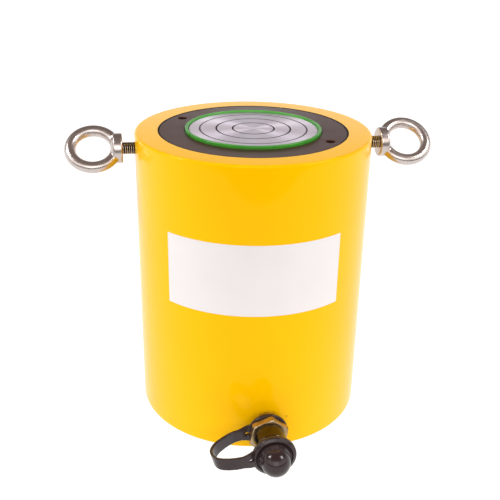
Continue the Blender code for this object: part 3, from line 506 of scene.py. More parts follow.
def refinish(piece, finish, *bands):
    """Give rings round Z another finish; each is (inner radius, outer radius, lowest height) in mm."""
    piece.data.materials.append(finish)
    last = len(piece.data.materials) - 1
    for face in piece.data.polygons:
        across = math.hypot(face.center.x, face.center.y) / MM
        if any(inner < across < outer and face.center.z > low * MM for inner, outer, low in bands):
            face.material_index = last


def hand_over(piece, body, slot, *nodes):
    """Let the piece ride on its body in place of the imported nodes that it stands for."""
    flats = piece.modifiers.new("flats stay flat", "WEIGHTED_NORMAL")
    flats.keep_sharp = True
    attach(piece, body)
    if nodes:
        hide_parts(*nodes)
    print(piece.name, "has", len(piece.data.polygons), "faces")


# %% [markdown]
# The cylinder is one forging: a thick floor with the oil port, and a wall that the gland ring screws
# into. The enamel covers the outside, and the bore and all drilled holes stay bare, so their faces take
# a second finish. The rims are rounded by two millimetres above and a little less below. The eye bolts'
# holes and the oil port are drilled into the finished wall, each by a turned solid that is cut away.

# %% Cylinder body
body_low, body_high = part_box("cylinder_body")
gland_low, gland_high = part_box("gland_ring")
cap_low, cap_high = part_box("dust_cap")
port_height = (cap_low.z + cap_high.z) / 2

BODY_RADIUS = body_high.x / MM
BODY_TOP = body_high.z / MM
GLAND_TOP = gland_high.z / MM
GLAND_FOOT = gland_low.z / MM
GLAND_RADIUS = gland_high.x / MM
THREAD_CLEARANCE = 0.3
BORE_RADIUS = 70.0
FLOOR_HEIGHT = 45.0
THREAD_SEAT = GLAND_FOOT + 10.4
MOUTH_RADIUS = GLAND_RADIUS + THREAD_CLEARANCE
PORT_BAND = 12.0
EYE_BAND_BELOW = 8.0
EYE_BAND_ABOVE = 7.0
MOUTH_CHAMFER = 0.5

body_section = section(
    (0, 0),
    (BODY_RADIUS, 0, 1.6),
    (BODY_RADIUS, port_height / MM - PORT_BAND),
    (BODY_RADIUS, port_height / MM + PORT_BAND),
    (BODY_RADIUS, eye_height / MM - EYE_BAND_BELOW),
    (BODY_RADIUS, eye_height / MM + EYE_BAND_ABOVE),
    (BODY_RADIUS, BODY_TOP, 2.0),
    (MOUTH_RADIUS + MOUTH_CHAMFER, BODY_TOP, 0.2),
    (MOUTH_RADIUS, BODY_TOP - MOUTH_CHAMFER),
    (MOUTH_RADIUS, THREAD_SEAT),
    (BORE_RADIUS, THREAD_SEAT),
    (BORE_RADIUS, FLOOR_HEIGHT),
    (0, FLOOR_HEIGHT),
)
cylinder = add_piece("yellow_cylinder", spin(body_section, FINE_TURN), yellow_enamel)
refinish(cylinder, machined_steel, (-1, MOUTH_RADIUS + 0.1, FLOOR_HEIGHT / 2))

PORT_DEPTH = 19.0
PORT_RADIUS = 8.9
EYE_HOLE_DEPTH = 10.0
EYE_HOLE_RADIUS = 5.25
DRILL_OVERRUN = 2.0
coupler_place = Matrix.Translation((0, 0, port_height)) @ Matrix.Rotation(math.pi / 2, 4, "X")
drill_places = [(coupler_place, PORT_RADIUS, PORT_DEPTH)]
for side in (1, -1):
    bolt_line = Matrix.Translation((0, 0, eye_height)) @ Matrix.Rotation(side * math.pi / 2, 4, "Y")
    drill_places.append((bolt_line, EYE_HOLE_RADIUS, EYE_HOLE_DEPTH))
for drill_place, radius, depth in drill_places:
    foot, end = BODY_RADIUS - depth, BODY_RADIUS + DRILL_OVERRUN
    drill = section((0, foot), (radius, foot), (radius, end), (0, end))
    carve(cylinder, add_piece("drill", spin(drill), machined_steel, drill_place))
steel_slot = cylinder.data.materials.find(machined_steel.name)
bare = [face for face in cylinder.data.polygons if face.material_index == steel_slot]
print("bare faces of the cylinder:", len(bare), "slots:", [item.name for item in cylinder.data.materials])
# Painted shade: the mouth's chamfer, in the gap round the gland ring, gets the near-black finish.
refinish(cylinder, painted_gap_shade, (MOUTH_RADIUS + 0.1, MOUTH_RADIUS + 0.65, BODY_TOP - 1))
hand_over(cylinder, "cylinder", "yellow_enamel", "cylinder_body")

# %% [markdown]
# The plate is a rectangle of film wrapped round the wall. Two curved sheets, a film's thickness apart
# and joined at their rims, make it a real solid that stands just proud of the paint. A flat picture
# would need a texture, and a decal without thickness would flicker against the enamel.

# %% Bare plate on the wall
PLATE_LEFT = math.radians(-50.3)
PLATE_RIGHT = math.radians(36.5)
PLATE_LOW = 115.4
PLATE_HIGH = 170.9
FILM_THICKNESS = 0.15
FILM_LIFT = 0.03
PLATE_COLUMNS = 72


def wall_point(angle, distance, height):
    """A point near the wall, its angle counted from the coupler's side."""
    return Vector((distance * math.sin(angle), -distance * math.cos(angle), height)) * MM


plate_mesh = bmesh.new()
columns = []
for column in range(PLATE_COLUMNS + 1):
    angle = PLATE_LEFT + (PLATE_RIGHT - PLATE_LEFT) * column / PLATE_COLUMNS
    near = BODY_RADIUS + FILM_LIFT
    far = near + FILM_THICKNESS
    ring = [(near, PLATE_LOW), (far, PLATE_LOW), (far, PLATE_HIGH), (near, PLATE_HIGH)]
    columns.append([plate_mesh.verts.new(wall_point(angle, *corner)) for corner in ring])
plate = add_piece("bare_plate", skin(plate_mesh, columns), white_vinyl)
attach(plate, "cylinder")
print("plate width in mm:", round((PLATE_RIGHT - PLATE_LEFT) * BODY_RADIUS, 1))

# %% [markdown]
# The gland ring closes the cylinder. It is turned with the wiper's groove in its bore, and its edge is
# broken so that a thin gap shows between it and the yellow rim; that gap and the throat's edge are
# painted near black as shade. Two blind holes take a pin spanner.
# They are drilled here as they are in the shop, each with a small countersink that catches the light.

# %% Gland ring
ROD_RADIUS = 49.15
GLAND_BORE = ROD_RADIUS + 0.4
SPIGOT_RADIUS = BORE_RADIUS - 0.3
WIPER_SHELF = 3.0
WIPER_GROOVE_RADIUS = ROD_RADIUS + 5.3
WIPER_GROOVE_FOOT = 8.0
THROAT_RADIUS = ROD_RADIUS + 3.1
GUIDE_RADIUS = ROD_RADIUS + 3.0
GUIDE_LOW = GLAND_FOOT + 6.0
GUIDE_HIGH = GUIDE_LOW + 15.6
SEAL_LOW = GLAND_FOOT + 3.3
SEAL_HIGH = SEAL_LOW + 3.8
SEAL_FLOOR = SPIGOT_RADIUS - 3.2
SPIGOT_END_HEIGHT = THREAD_SEAT + THREAD_CLEARANCE

gland_section = section(
    (GLAND_BORE, GLAND_FOOT, 0.4),
    (SPIGOT_RADIUS, GLAND_FOOT, 0.6),
    (SPIGOT_RADIUS, SEAL_LOW, 0.1),
    (SEAL_FLOOR, SEAL_LOW),
    (SEAL_FLOOR, SEAL_HIGH),
    (SPIGOT_RADIUS, SEAL_HIGH, 0.1),
    (SPIGOT_RADIUS, SPIGOT_END_HEIGHT),
    (GLAND_RADIUS, SPIGOT_END_HEIGHT, 0.3),
    (GLAND_RADIUS, GLAND_TOP, 0.7),
    (THROAT_RADIUS, GLAND_TOP, 0.3),
    (THROAT_RADIUS, GLAND_TOP - WIPER_SHELF),
    (WIPER_GROOVE_RADIUS, GLAND_TOP - WIPER_SHELF),
    (WIPER_GROOVE_RADIUS, GLAND_TOP - WIPER_GROOVE_FOOT),
    (GLAND_BORE, GLAND_TOP - WIPER_GROOVE_FOOT, 0.2),
    (GLAND_BORE, GUIDE_HIGH),
    (GUIDE_RADIUS, GUIDE_HIGH),
    (GUIDE_RADIUS, GUIDE_LOW),
    (GLAND_BORE, GUIDE_LOW),
)
gland = add_piece("black_gland_ring", spin(gland_section, FINE_TURN), blacked_steel)

SPANNER_HOLE_RADIUS = 3.5
SPANNER_HOLE_DEPTH = 8.0
SPANNER_CIRCLE = 63.5
SPANNER_BEARINGS = (144, 324)
DRILL_POINT = 1.5
COUNTERSINK = 0.5
spanner_drill = section(
    (0, GLAND_TOP - SPANNER_HOLE_DEPTH),
    (SPANNER_HOLE_RADIUS, GLAND_TOP - SPANNER_HOLE_DEPTH + DRILL_POINT),
    (SPANNER_HOLE_RADIUS, GLAND_TOP - COUNTERSINK),
    (SPANNER_HOLE_RADIUS + 2 * COUNTERSINK, GLAND_TOP + COUNTERSINK),
    (0, GLAND_TOP + COUNTERSINK),
)
for bearing in SPANNER_BEARINGS:
    angle = math.radians(bearing)
    spot = Matrix.Translation(Vector((math.cos(angle), math.sin(angle), 0)) * SPANNER_CIRCLE * MM)
    carve(gland, add_piece("spanner_drill", spin(spanner_drill, 48), blacked_steel, spot))
# Painted shade: the rim's fillet and the throat's edge get the near-black finish, as shade in the gaps.
rim_gap = (GLAND_RADIUS - 0.75, GLAND_RADIUS + 0.1, GLAND_TOP - 3)
throat_gap = (GLAND_BORE, THROAT_RADIUS + 0.4, GLAND_TOP - 4)
refinish(gland, painted_gap_shade, rim_gap, throat_gap)
hand_over(gland, "cylinder", "blacked_steel", "gland_ring")

# %% [markdown]
# The wiper snaps into the gland's groove and scrapes dirt from the rod. Its base is hidden, and its lip
# stands a little over one millimetre above the load plate, with a round on its crown and a sharp
# scraping edge inside. The round is what shows as a pale line along the green ring, so it is made with
# real fillets.

# %% Rod wiper
wiper_low, wiper_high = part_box("rod_wiper")
LIP_TOP = wiper_high.z / MM
LIP_OUTER = THROAT_RADIUS - 0.3
LIP_INNER = ROD_RADIUS + 0.3
BASE_OUTER = wiper_high.x / MM
BASE_FOOT = wiper_low.z / MM
LIP_SHELF = GLAND_TOP - WIPER_SHELF - 0.3
HEEL_RADIUS = LIP_INNER + 0.3
CROWN_RADIUS = LIP_INNER + 0.45
EDGE_DROP = 1.1

wiper_section = section(
    (HEEL_RADIUS, BASE_FOOT, 0.3),
    (BASE_OUTER, BASE_FOOT, 0.4),
    (BASE_OUTER, LIP_SHELF, 0.4),
    (LIP_OUTER, LIP_SHELF, 0.2),
    (LIP_OUTER, LIP_TOP, 0.7),
    (CROWN_RADIUS, LIP_TOP, 0.35),
    (LIP_INNER, LIP_TOP - EDGE_DROP, 0.3),
    (HEEL_RADIUS, LIP_SHELF),
)
wiper = add_piece("green_rod_wiper", spin(wiper_section, FINE_TURN), green_urethane)
hand_over(wiper, "cylinder", "green_urethane", "rod_wiper")

# %% [markdown]
# The plunger is one forging, chromed where it slides. Its head carries the seals, its end is recessed
# for the load plate, and it is hollow from below to hold the return spring. At rest only a narrow land
# shows round the plate, faced like the plate itself, but the whole chromed rod comes out when the jack
# is raised.

# %% Plunger
plunger_low, plunger_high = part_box("plunger")
saddle_low, saddle_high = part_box("saddle")
FACE_TOP = plunger_high.z / MM
HEAD_FOOT = plunger_low.z / MM
HEAD_RADIUS = plunger_high.x / MM
HEAD_TOP = HEAD_FOOT + 40.0
RECESS_RADIUS = 41.0
RECESS_FLOOR = FACE_TOP - 10.3
SHANK_HOLE_RADIUS = 15.9
SHANK_HOLE_FLOOR = RECESS_FLOOR - 12.6
SEAL_FLOOR_RADIUS = BORE_RADIUS - 9.0
WEAR_FLOOR_RADIUS = BORE_RADIUS - 3.5
SPRING_ROOM_RADIUS = 30.0
SPRING_ROOM_TOP = FACE_TOP - 41.3
STUD_RADIUS = 9.3
STUD_TOP = SPRING_ROOM_TOP + 9.3
ROD_CHAMFER = 0.5
WEAR_RING_LOW = HEAD_FOOT + 20.4
WEAR_RING_HIGH = HEAD_TOP - 6.0
LIP_SEAL_LOW = HEAD_FOOT + 5.0
LIP_SEAL_HIGH = HEAD_FOOT + 15.9
PAD_RADIUS = HEAD_RADIUS - 11.0
PAD_TOP = HEAD_FOOT + 1.5

plunger_section = section(
    (0, SHANK_HOLE_FLOOR),
    (SHANK_HOLE_RADIUS, SHANK_HOLE_FLOOR),
    (SHANK_HOLE_RADIUS, RECESS_FLOOR, 0.3),
    (RECESS_RADIUS, RECESS_FLOOR, 0.3),
    (RECESS_RADIUS, FACE_TOP, 0.35),
    (ROD_RADIUS - ROD_CHAMFER, FACE_TOP, 0.2),
    (ROD_RADIUS, FACE_TOP - ROD_CHAMFER, 0.2),
    (ROD_RADIUS, HEAD_TOP, 0.8),
    (HEAD_RADIUS, HEAD_TOP, 0.8),
    (HEAD_RADIUS, WEAR_RING_HIGH, 0.2),
    (WEAR_FLOOR_RADIUS, WEAR_RING_HIGH),
    (WEAR_FLOOR_RADIUS, WEAR_RING_LOW),
    (HEAD_RADIUS, WEAR_RING_LOW, 0.2),
    (HEAD_RADIUS, LIP_SEAL_HIGH, 0.2),
    (SEAL_FLOOR_RADIUS, LIP_SEAL_HIGH),
    (SEAL_FLOOR_RADIUS, LIP_SEAL_LOW),
    (HEAD_RADIUS, LIP_SEAL_LOW, 0.2),
    (HEAD_RADIUS, HEAD_FOOT, 0.8),
    (PAD_RADIUS, HEAD_FOOT, 0.4),
    (PAD_RADIUS, PAD_TOP, 0.4),
    (SPRING_ROOM_RADIUS, PAD_TOP, 0.8),
    (SPRING_ROOM_RADIUS, SPRING_ROOM_TOP, 1.5),
    (STUD_RADIUS, SPRING_ROOM_TOP, 0.3),
    (STUD_RADIUS, STUD_TOP),
    (0, STUD_TOP),
)
plunger = add_piece("chromed_plunger", spin(plunger_section, FINE_TURN), hard_chrome)
refinish(plunger, faced_steel, (-1, ROD_RADIUS - 0.1, RECESS_FLOOR))
# Painted shade: the gap round the load plate's rim gets the near-black finish.
refinish(plunger, painted_gap_shade, (RECESS_RADIUS - 0.1, RECESS_RADIUS + 0.3, FACE_TOP - 3))
hand_over(plunger, "lift", "chromed_steel", "plunger")

# %% [markdown]
# The load plate drops into the rod's end on a short shank. Its face has two turned grooves that keep a
# packing plate from sliding, and its rim leaves a third dark line against the rod. The grooves are cut
# as real V sections, because a painted line would not darken and brighten as the light moves, and the
# faces of all three lines also get the near-black finish, painted shade that deepens them.

# %% Load plate
PLATE_RADIUS = saddle_high.x / MM
PLATE_TOP = saddle_high.z / MM
PLATE_FOOT = PLATE_TOP - 10.0
SHANK_RADIUS = 15.5
SHANK_FOOT = saddle_low.z / MM
GROOVE_RADII = (PLATE_RADIUS - 12.4, PLATE_RADIUS - 24.8)
GROOVE_HALF_WIDTH = 0.65
GROOVE_DEPTH = 0.9
RING_FLOOR = SHANK_RADIUS - 1.8
RING_LOW = SHANK_FOOT + 4.8
RING_HIGH = RING_LOW + 2.4

face_corners = []
for groove in GROOVE_RADII:
    face_corners.append((groove + GROOVE_HALF_WIDTH, PLATE_TOP))
    face_corners.append((groove, PLATE_TOP - GROOVE_DEPTH))
    face_corners.append((groove - GROOVE_HALF_WIDTH, PLATE_TOP))
saddle_section = section(
    (0, SHANK_FOOT),
    (SHANK_RADIUS, SHANK_FOOT, 0.8),
    (SHANK_RADIUS, RING_LOW),
    (RING_FLOOR, RING_LOW),
    (RING_FLOOR, RING_HIGH),
    (SHANK_RADIUS, RING_HIGH),
    (SHANK_RADIUS, PLATE_FOOT, 0.3),
    (PLATE_RADIUS, PLATE_FOOT, 0.5),
    (PLATE_RADIUS, PLATE_TOP, 0.4),
    *face_corners,
    (0, PLATE_TOP),
)
saddle = add_piece("grooved_load_plate", spin(saddle_section, FINE_TURN), faced_steel)
# Painted shade: the grooves' faces and the rim's gap get the near-black finish.
grooves = [(middle - GROOVE_HALF_WIDTH, middle + GROOVE_HALF_WIDTH, PLATE_TOP - 1) for middle in GROOVE_RADII]
plate_gap = (PLATE_RADIUS - 0.35, PLATE_RADIUS + 0.1, PLATE_TOP - 3)
refinish(saddle, painted_gap_shade, *grooves, plate_gap)
hand_over(saddle, "lift", "ground_steel", "saddle")

# %% [markdown]
# An eye bolt is forged: the ring flows into a round collar, with no seam. The ring and the collar are
# made apart and joined, then cut into tiny cubes and smoothed, which melts the joint into a soft neck
# as a die leaves it. The thread is turned later, so it stays crisp and is a mesh of its own, whose
# radius follows the thread's pitch round and along the shank.

# %% Eye bolts
EYE_RING_RADIUS = 17.0
EYE_RING_THICKNESS = 8.6
EYE_RING_STANDOFF = 0.5
EYE_COLLAR_RADIUS = 11.3
EYE_COLLAR_REAR = BODY_RADIUS + 9.0
EYE_COLLAR_FRONT = EYE_COLLAR_REAR + 6.7
EYE_CROWN_RADIUS = 7.6
EYE_CROWN_END = EYE_COLLAR_FRONT + 1.4
EYE_RING_CENTRE = EYE_COLLAR_REAR + EYE_RING_STANDOFF + EYE_RING_THICKNESS / 2 + EYE_RING_RADIUS
EYE_THREAD_RADIUS = 5.0
EYE_THREAD_DEPTH = 0.9
EYE_THREAD_PITCH = 1.5
EYE_THREAD_FOOT = BODY_RADIUS - 8.0
EYE_THREAD_END = EYE_COLLAR_REAR + 1.0
EYE_LEANS = {"right": (1, math.radians(48.7)), "left": (-1, math.radians(54.4))}
FORGE_GRAIN = 0.42 * MM
FORGE_PASSES = 7
FLANK_STEEPNESS = 2.4
CREST_FLAT = 0.1


def melt(piece, grain, passes):
    """Melt joined solids into one smooth skin."""
    cubes = piece.modifiers.new("cubes", "REMESH")
    cubes.mode = "VOXEL"
    cubes.voxel_size = grain
    smooth = piece.modifiers.new("smooth", "SMOOTH")
    smooth.factor = 0.5
    smooth.iterations = passes
    settle(piece)
    piece.data.shade_smooth()


def round_point(mesh, across, share, height):
    """Add a point at a share of a full turn round Z; lengths in mm."""
    angle = math.tau * share
    return mesh.verts.new(Vector((across * math.cos(angle), across * math.sin(angle), height)) * MM)


def thread(radius, depth, pitch, low, high, bore=0, segments=48, rows_per_turn=16):
    """A screw thread as a closed mesh: the radius swings once each pitch, and the swing winds round."""
    mesh = bmesh.new()
    rows = round((high - low) / pitch * rows_per_turn)
    rings = []
    for row in range(rows + 1):
        height = low + (high - low) * row / rows
        ring = []
        for step in range(segments):
            phase = (height / pitch - step / segments) % 1
            flank = min(1, max(0, FLANK_STEEPNESS * abs(phase - 0.5) - CREST_FLAT))
            lead = min(1, (height - low) / pitch)
            across = radius - depth * (1 - flank * lead)
            ring.append(round_point(mesh, across, step / segments, height))
        rings.append(ring)
    if bore:
        for height in (high, low):
            rings.append([round_point(mesh, bore, step / segments, height) for step in range(segments)])
        rings.append(rings[0])
    return skin(mesh, rings, closed=not bore)


collar_section = section(
    (0, EYE_COLLAR_REAR),
    (EYE_COLLAR_RADIUS, EYE_COLLAR_REAR, 1.0),
    (EYE_COLLAR_RADIUS, EYE_COLLAR_FRONT, 1.6),
    (EYE_CROWN_RADIUS, EYE_CROWN_END),
    (0, EYE_CROWN_END),
)
half_thickness = EYE_RING_THICKNESS / 2
eye_circle = [
    Vector((EYE_RING_RADIUS + half_thickness * math.cos(a), half_thickness * math.sin(a))) * MM
    for a in (math.tau * step / 40 for step in range(40))
]
for side_name, (side, lean) in EYE_LEANS.items():
    height = Matrix.Translation((0, 0, eye_height))
    bolt_place = height @ Matrix.Rotation(-lean, 4, "X") @ Matrix.Rotation(side * math.pi / 2, 4, "Y")
    upright = Matrix.Translation((0, 0, EYE_RING_CENTRE * MM)) @ Matrix.Rotation(math.pi / 2, 4, "X")
    eye = add_piece(f"eye_{side_name}", spin(collar_section), polished_stainless, bolt_place)
    ring = add_piece("ring", spin(eye_circle, 120), polished_stainless, bolt_place @ upright)
    carve(eye, ring, "UNION")
    melt(eye, FORGE_GRAIN, FORGE_PASSES)
    hand_over(eye, f"{side_name}_eye", "stainless_steel", f"eye_bolt_{side_name}")
    screw = thread(EYE_THREAD_RADIUS, EYE_THREAD_DEPTH, EYE_THREAD_PITCH, EYE_THREAD_FOOT, EYE_THREAD_END)
    shank = add_piece(f"eye_thread_{side_name}", screw, cut_thread, bolt_place)
    hand_over(shank, f"{side_name}_eye", "stainless_steel")

# %% [markdown]
# The coupler's rear half is turned from hexagon bar. A cone trims the bar's corners, which leaves the
# curved chamfers that every machined hexagon has, and those bright scallops are what the eye looks for.
# So the bar is cut by a real cone and not bevelled. The axis of all that follows points at the viewer.

# %% Coupler adapter
adapter_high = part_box("coupler_adapter")[1]
HEX_REAR = BODY_RADIUS + 11.0
HEX_FRONT = HEX_REAR + 5.7
HEX_RADIUS = 13.5 / math.cos(math.pi / 6)
HEX_TURN = 82 / 360
HEX_TRIM = 1.5
HEX_REAR_TRIM = 1.3
TRIM_REAR_RADIUS = 13.4
TRIM_FRONT_RADIUS = 13.2
TRIM_RADIUS = HEX_RADIUS + 0.3
TRIM_SPARE = 0.01
TURNED_OVERLAP = HEX_REAR + 2.0
SHANK_REAR = HEX_REAR - 4.5
COUPLER_SHANK_RADIUS = 9.6
SPIGOT_END = HEX_FRONT + 7.8
COUPLER_SPIGOT_RADIUS = 8.7
OILWAY_RADIUS = 4.0
PIPE_END = -adapter_high.y / MM
PIPE_RADIUS = 8.55
PIPE_END_RADIUS = 7.97

hexagon = bmesh.new()
outline = [round_point(hexagon, HEX_RADIUS, HEX_TURN + corner / 6, HEX_REAR) for corner in range(6)]
bottom = hexagon.faces.new(outline)
lifted = bmesh.ops.extrude_face_region(hexagon, geom=[bottom])["geom"]
top_corners = [item for item in lifted if isinstance(item, bmesh.types.BMVert)]
bmesh.ops.translate(hexagon, vec=(0, 0, (HEX_FRONT - HEX_REAR) * MM), verts=top_corners)
bmesh.ops.recalc_face_normals(hexagon, faces=hexagon.faces)
adapter = add_piece("gold_coupler_adapter", hexagon, gold_zinc, coupler_place)

trim_cone = section(
    (0, HEX_REAR - TRIM_SPARE),
    (TRIM_REAR_RADIUS, HEX_REAR - TRIM_SPARE),
    (TRIM_RADIUS, HEX_REAR + HEX_REAR_TRIM),
    (TRIM_RADIUS, HEX_FRONT - HEX_TRIM),
    (TRIM_FRONT_RADIUS, HEX_FRONT + TRIM_SPARE),
    (0, HEX_FRONT + TRIM_SPARE),
)
carve(adapter, add_piece("trim_cone", spin(trim_cone), gold_zinc, coupler_place), "INTERSECT")
turned_parts = section(
    (OILWAY_RADIUS, PIPE_END, 0.4),
    (PIPE_END_RADIUS, PIPE_END, 0.5),
    (PIPE_RADIUS, BODY_RADIUS),
    (PIPE_RADIUS, SHANK_REAR),
    (COUPLER_SHANK_RADIUS, SHANK_REAR, 0.4),
    (COUPLER_SHANK_RADIUS, TURNED_OVERLAP),
    (COUPLER_SPIGOT_RADIUS, TURNED_OVERLAP),
    (COUPLER_SPIGOT_RADIUS, SPIGOT_END, 0.4),
    (OILWAY_RADIUS, SPIGOT_END, 0.4),
)
carve(adapter, add_piece("turned_parts", spin(turned_parts), gold_zinc, coupler_place), "UNION")
hand_over(adapter, "cylinder", "yellow_zinc", "coupler_adapter")

# %% [markdown]
# The sleeve screws over the adapter and holds the check valve. Outside it is a plain barrel with a
# shallow relief behind its front edge. Its nose, which the cap covers, carries the coupling thread, a
# mesh of its own made like the bolts' threads but hollow. The valve's chamber and seat are bored as the
# real ones are, so the sleeve is open from end to end.

# %% Coupler sleeve
sleeve_low, sleeve_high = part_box("coupler_sleeve")
SLEEVE_REAR = -sleeve_high.y / MM
NOSE_END = -sleeve_low.y / MM
SLEEVE_RADIUS = sleeve_high.x / MM
SLEEVE_FRONT = SLEEVE_REAR + 17.2
NOSE_RADIUS = 9.4
NOSE_THREAD_DEPTH = 0.7
NOSE_THREAD_PITCH = 1.5
NOSE_ROOT_RADIUS = NOSE_RADIUS - NOSE_THREAD_DEPTH
NOSE_CHAMFER = 0.6
NOSE_BORE = 6.2
SOCKET_RADIUS = COUPLER_SPIGOT_RADIUS + 0.3
CHAMBER_REAR = SPIGOT_END + 0.3
CHAMBER_LEDGE = CHAMBER_REAR + 1.5
CHAMBER_RADIUS = 6.5
SEAT_REAR = CHAMBER_REAR + 13.2
SEAT_FRONT = SEAT_REAR + 3.0
SEAT_RADIUS = 3.5
SEAT_CHAMFER = 1.5
RELIEF_RADIUS = SLEEVE_RADIUS - 0.35
RELIEF_REAR = SLEEVE_FRONT - 4.6
RELIEF_FRONT = SLEEVE_FRONT - 3.0
RELIEF_FLANK = 0.4

sleeve_section = section(
    (SOCKET_RADIUS, SLEEVE_REAR, 0.3),
    (SLEEVE_RADIUS, SLEEVE_REAR, 0.5),
    (SLEEVE_RADIUS, RELIEF_REAR, 0.2),
    (RELIEF_RADIUS, RELIEF_REAR + RELIEF_FLANK, 0.2),
    (RELIEF_RADIUS, RELIEF_FRONT - RELIEF_FLANK, 0.2),
    (SLEEVE_RADIUS, RELIEF_FRONT, 0.2),
    (SLEEVE_RADIUS, SLEEVE_FRONT, 0.8),
    (NOSE_ROOT_RADIUS, SLEEVE_FRONT, 0.2),
    (NOSE_ROOT_RADIUS, NOSE_END - NOSE_CHAMFER),
    (NOSE_ROOT_RADIUS - NOSE_CHAMFER, NOSE_END, 0.2),
    (NOSE_BORE, NOSE_END, 0.4),
    (NOSE_BORE, SEAT_FRONT, 0.3),
    (SEAT_RADIUS, SEAT_FRONT, 0.3),
    (SEAT_RADIUS, SEAT_REAR + SEAT_CHAMFER),
    (CHAMBER_RADIUS, SEAT_REAR),
    (CHAMBER_RADIUS, CHAMBER_LEDGE),
    (SOCKET_RADIUS, CHAMBER_LEDGE),
)
sleeve = add_piece("olive_coupler_sleeve", spin(sleeve_section), olive_zinc, coupler_place)
hand_over(sleeve, "cylinder", "olive_zinc", "coupler_sleeve")
nose_screw = thread(NOSE_RADIUS, NOSE_THREAD_DEPTH, NOSE_THREAD_PITCH, SLEEVE_FRONT + 1.2, NOSE_END - 0.7,
                    NOSE_RADIUS - 0.9, SMALL_TURN)
nose_thread = add_piece("nose_thread", nose_screw, olive_zinc, coupler_place)
hand_over(nose_thread, "cylinder", "olive_zinc")

# %% [markdown]
# The dust cap is moulded rubber: a flange, a groove that the strap's ring snaps into, a short skirt and
# a dome. A thin bead, where the halves of the mould met, runs round the skirt's front edge. Its hollow
# fits over the coupler's nose, and the dome's arc is worked out so that its tip lies where the packed
# model puts it.

# %% Dust cap
CAP_REAR = -cap_high.y / MM
CAP_TIP = -cap_low.y / MM
CAP_FLANGE_RADIUS = cap_high.x / MM
DOME_RADIUS = 10.7
DOME_CENTRE = CAP_TIP - DOME_RADIUS
GROOVE_REAR = CAP_REAR + 1.4
GROOVE_FRONT = GROOVE_REAR + 4.1
CAP_GROOVE_RADIUS = 11.2
CAP_BORE_RADIUS = NOSE_RADIUS + 0.3
CAP_BORE_END = NOSE_END + 0.3
SKIRT_FRONT = GROOVE_FRONT + 4.8
SKIRT_RADIUS = 12.3
SKIRT_TAPER = 1.1
DOME_STEPS = 20
HOLLOW_RADIUS = 8.2
HOLLOW_STEPS = 8

cap_section = section(
    (CAP_BORE_RADIUS, CAP_BORE_END, 0.5),
    (CAP_BORE_RADIUS, CAP_REAR, 0.3),
    (CAP_FLANGE_RADIUS, CAP_REAR, 0.5),
    (CAP_FLANGE_RADIUS, GROOVE_REAR, 0.3),
    (CAP_GROOVE_RADIUS, GROOVE_REAR, 0.2),
    (CAP_GROOVE_RADIUS, GROOVE_FRONT, 0.2),
    (SKIRT_RADIUS, GROOVE_FRONT, 0.3),
    (SKIRT_RADIUS - SKIRT_TAPER, SKIRT_FRONT, 0.25),
    (DOME_RADIUS, SKIRT_FRONT + 0.1, 0.05),
)
for radius, steps in ((DOME_RADIUS, DOME_STEPS), (HOLLOW_RADIUS, HOLLOW_STEPS)):
    climbs = [math.pi / 2 * step / steps for step in range(1, steps)]
    dome = [Vector((radius * math.cos(a), DOME_CENTRE + radius * math.sin(a))) * MM for a in climbs]
    tip = [Vector((0, DOME_CENTRE + radius)) * MM]
    cap_section += dome + tip if radius == DOME_RADIUS else tip + dome[::-1]
cap_section.append(Vector((HOLLOW_RADIUS, CAP_BORE_END)) * MM)
cap = add_piece("domed_dust_cap", spin(cap_section), black_rubber, coupler_place)
hand_over(cap, "cap", "black_rubber", "dust_cap")

# %% [markdown]
# The strap is one moulding: a ring on the coupler's shank, a ring with a raised lip in the cap's groove
# and a flat band that folds between them. The band is swept along a curve through a few points that
# were chosen from the photograph, the rings are turned, and the three are joined and melted so that
# their edges round off like rubber. A short slot is cut at each ring, where the real band hinges.

# %% Cap strap
REAR_RING_RADIUS = 15.3
REAR_RING_THICKNESS = 2.6
FRONT_RING_RADIUS = 16.4
FRONT_RING_THICKNESS = 3.5
LIP_CREST_RADIUS = 14.2
LIP_INNER_RADIUS = 13.4
LIP_RISE = 0.9
BAND_HALF_WIDTH = 4.9
BAND_THICKNESS = 1.8
LOOP_REACH = 46.0
REAR_RING_FRONT = HEX_REAR - 0.3
REAR_MIDDLE = REAR_RING_FRONT - REAR_RING_THICKNESS / 2
FRONT_RING_REAR = GROOVE_REAR + 0.3
FRONT_MIDDLE = FRONT_RING_REAR + FRONT_RING_THICKNESS / 2
FOLD = (
    (0.5, 0.08), (0.64, 0.185), (0.864, 0.5), (0.96, 0.81),
    (0.922, 1.07), (0.805, 1.178), (0.596, 1.193), (0.4, 1.12),
)
REAR_ROOT, REAR_LEAVE, FRONT_ROOT = 0.72, 1.06, 0.76
NECK_LENGTH, NECK_FLARE = 0.7, 0.2
FOLD_LEAN = 0.033
CURVE_STEPS = 8
RUBBER_GRAIN = 0.34 * MM
RUBBER_PASSES = 4


def curve_through(points, steps):
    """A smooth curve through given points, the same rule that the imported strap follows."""
    ends = [points[0] * 2 - points[1]] + points + [points[-1] * 2 - points[-2]]
    path = []
    for before, start, end, after in zip(ends, ends[1:], ends[2:], ends[3:]):
        for step in range(steps):
            t = step / steps
            line = 2 * start + (end - before) * t
            bend = (2 * before - 5 * start + 4 * end - after) * t ** 2
            twist = (3 * start - before - 3 * end + after) * t ** 3
            path.append((line + bend + twist) / 2)
    return path + [points[-1]]


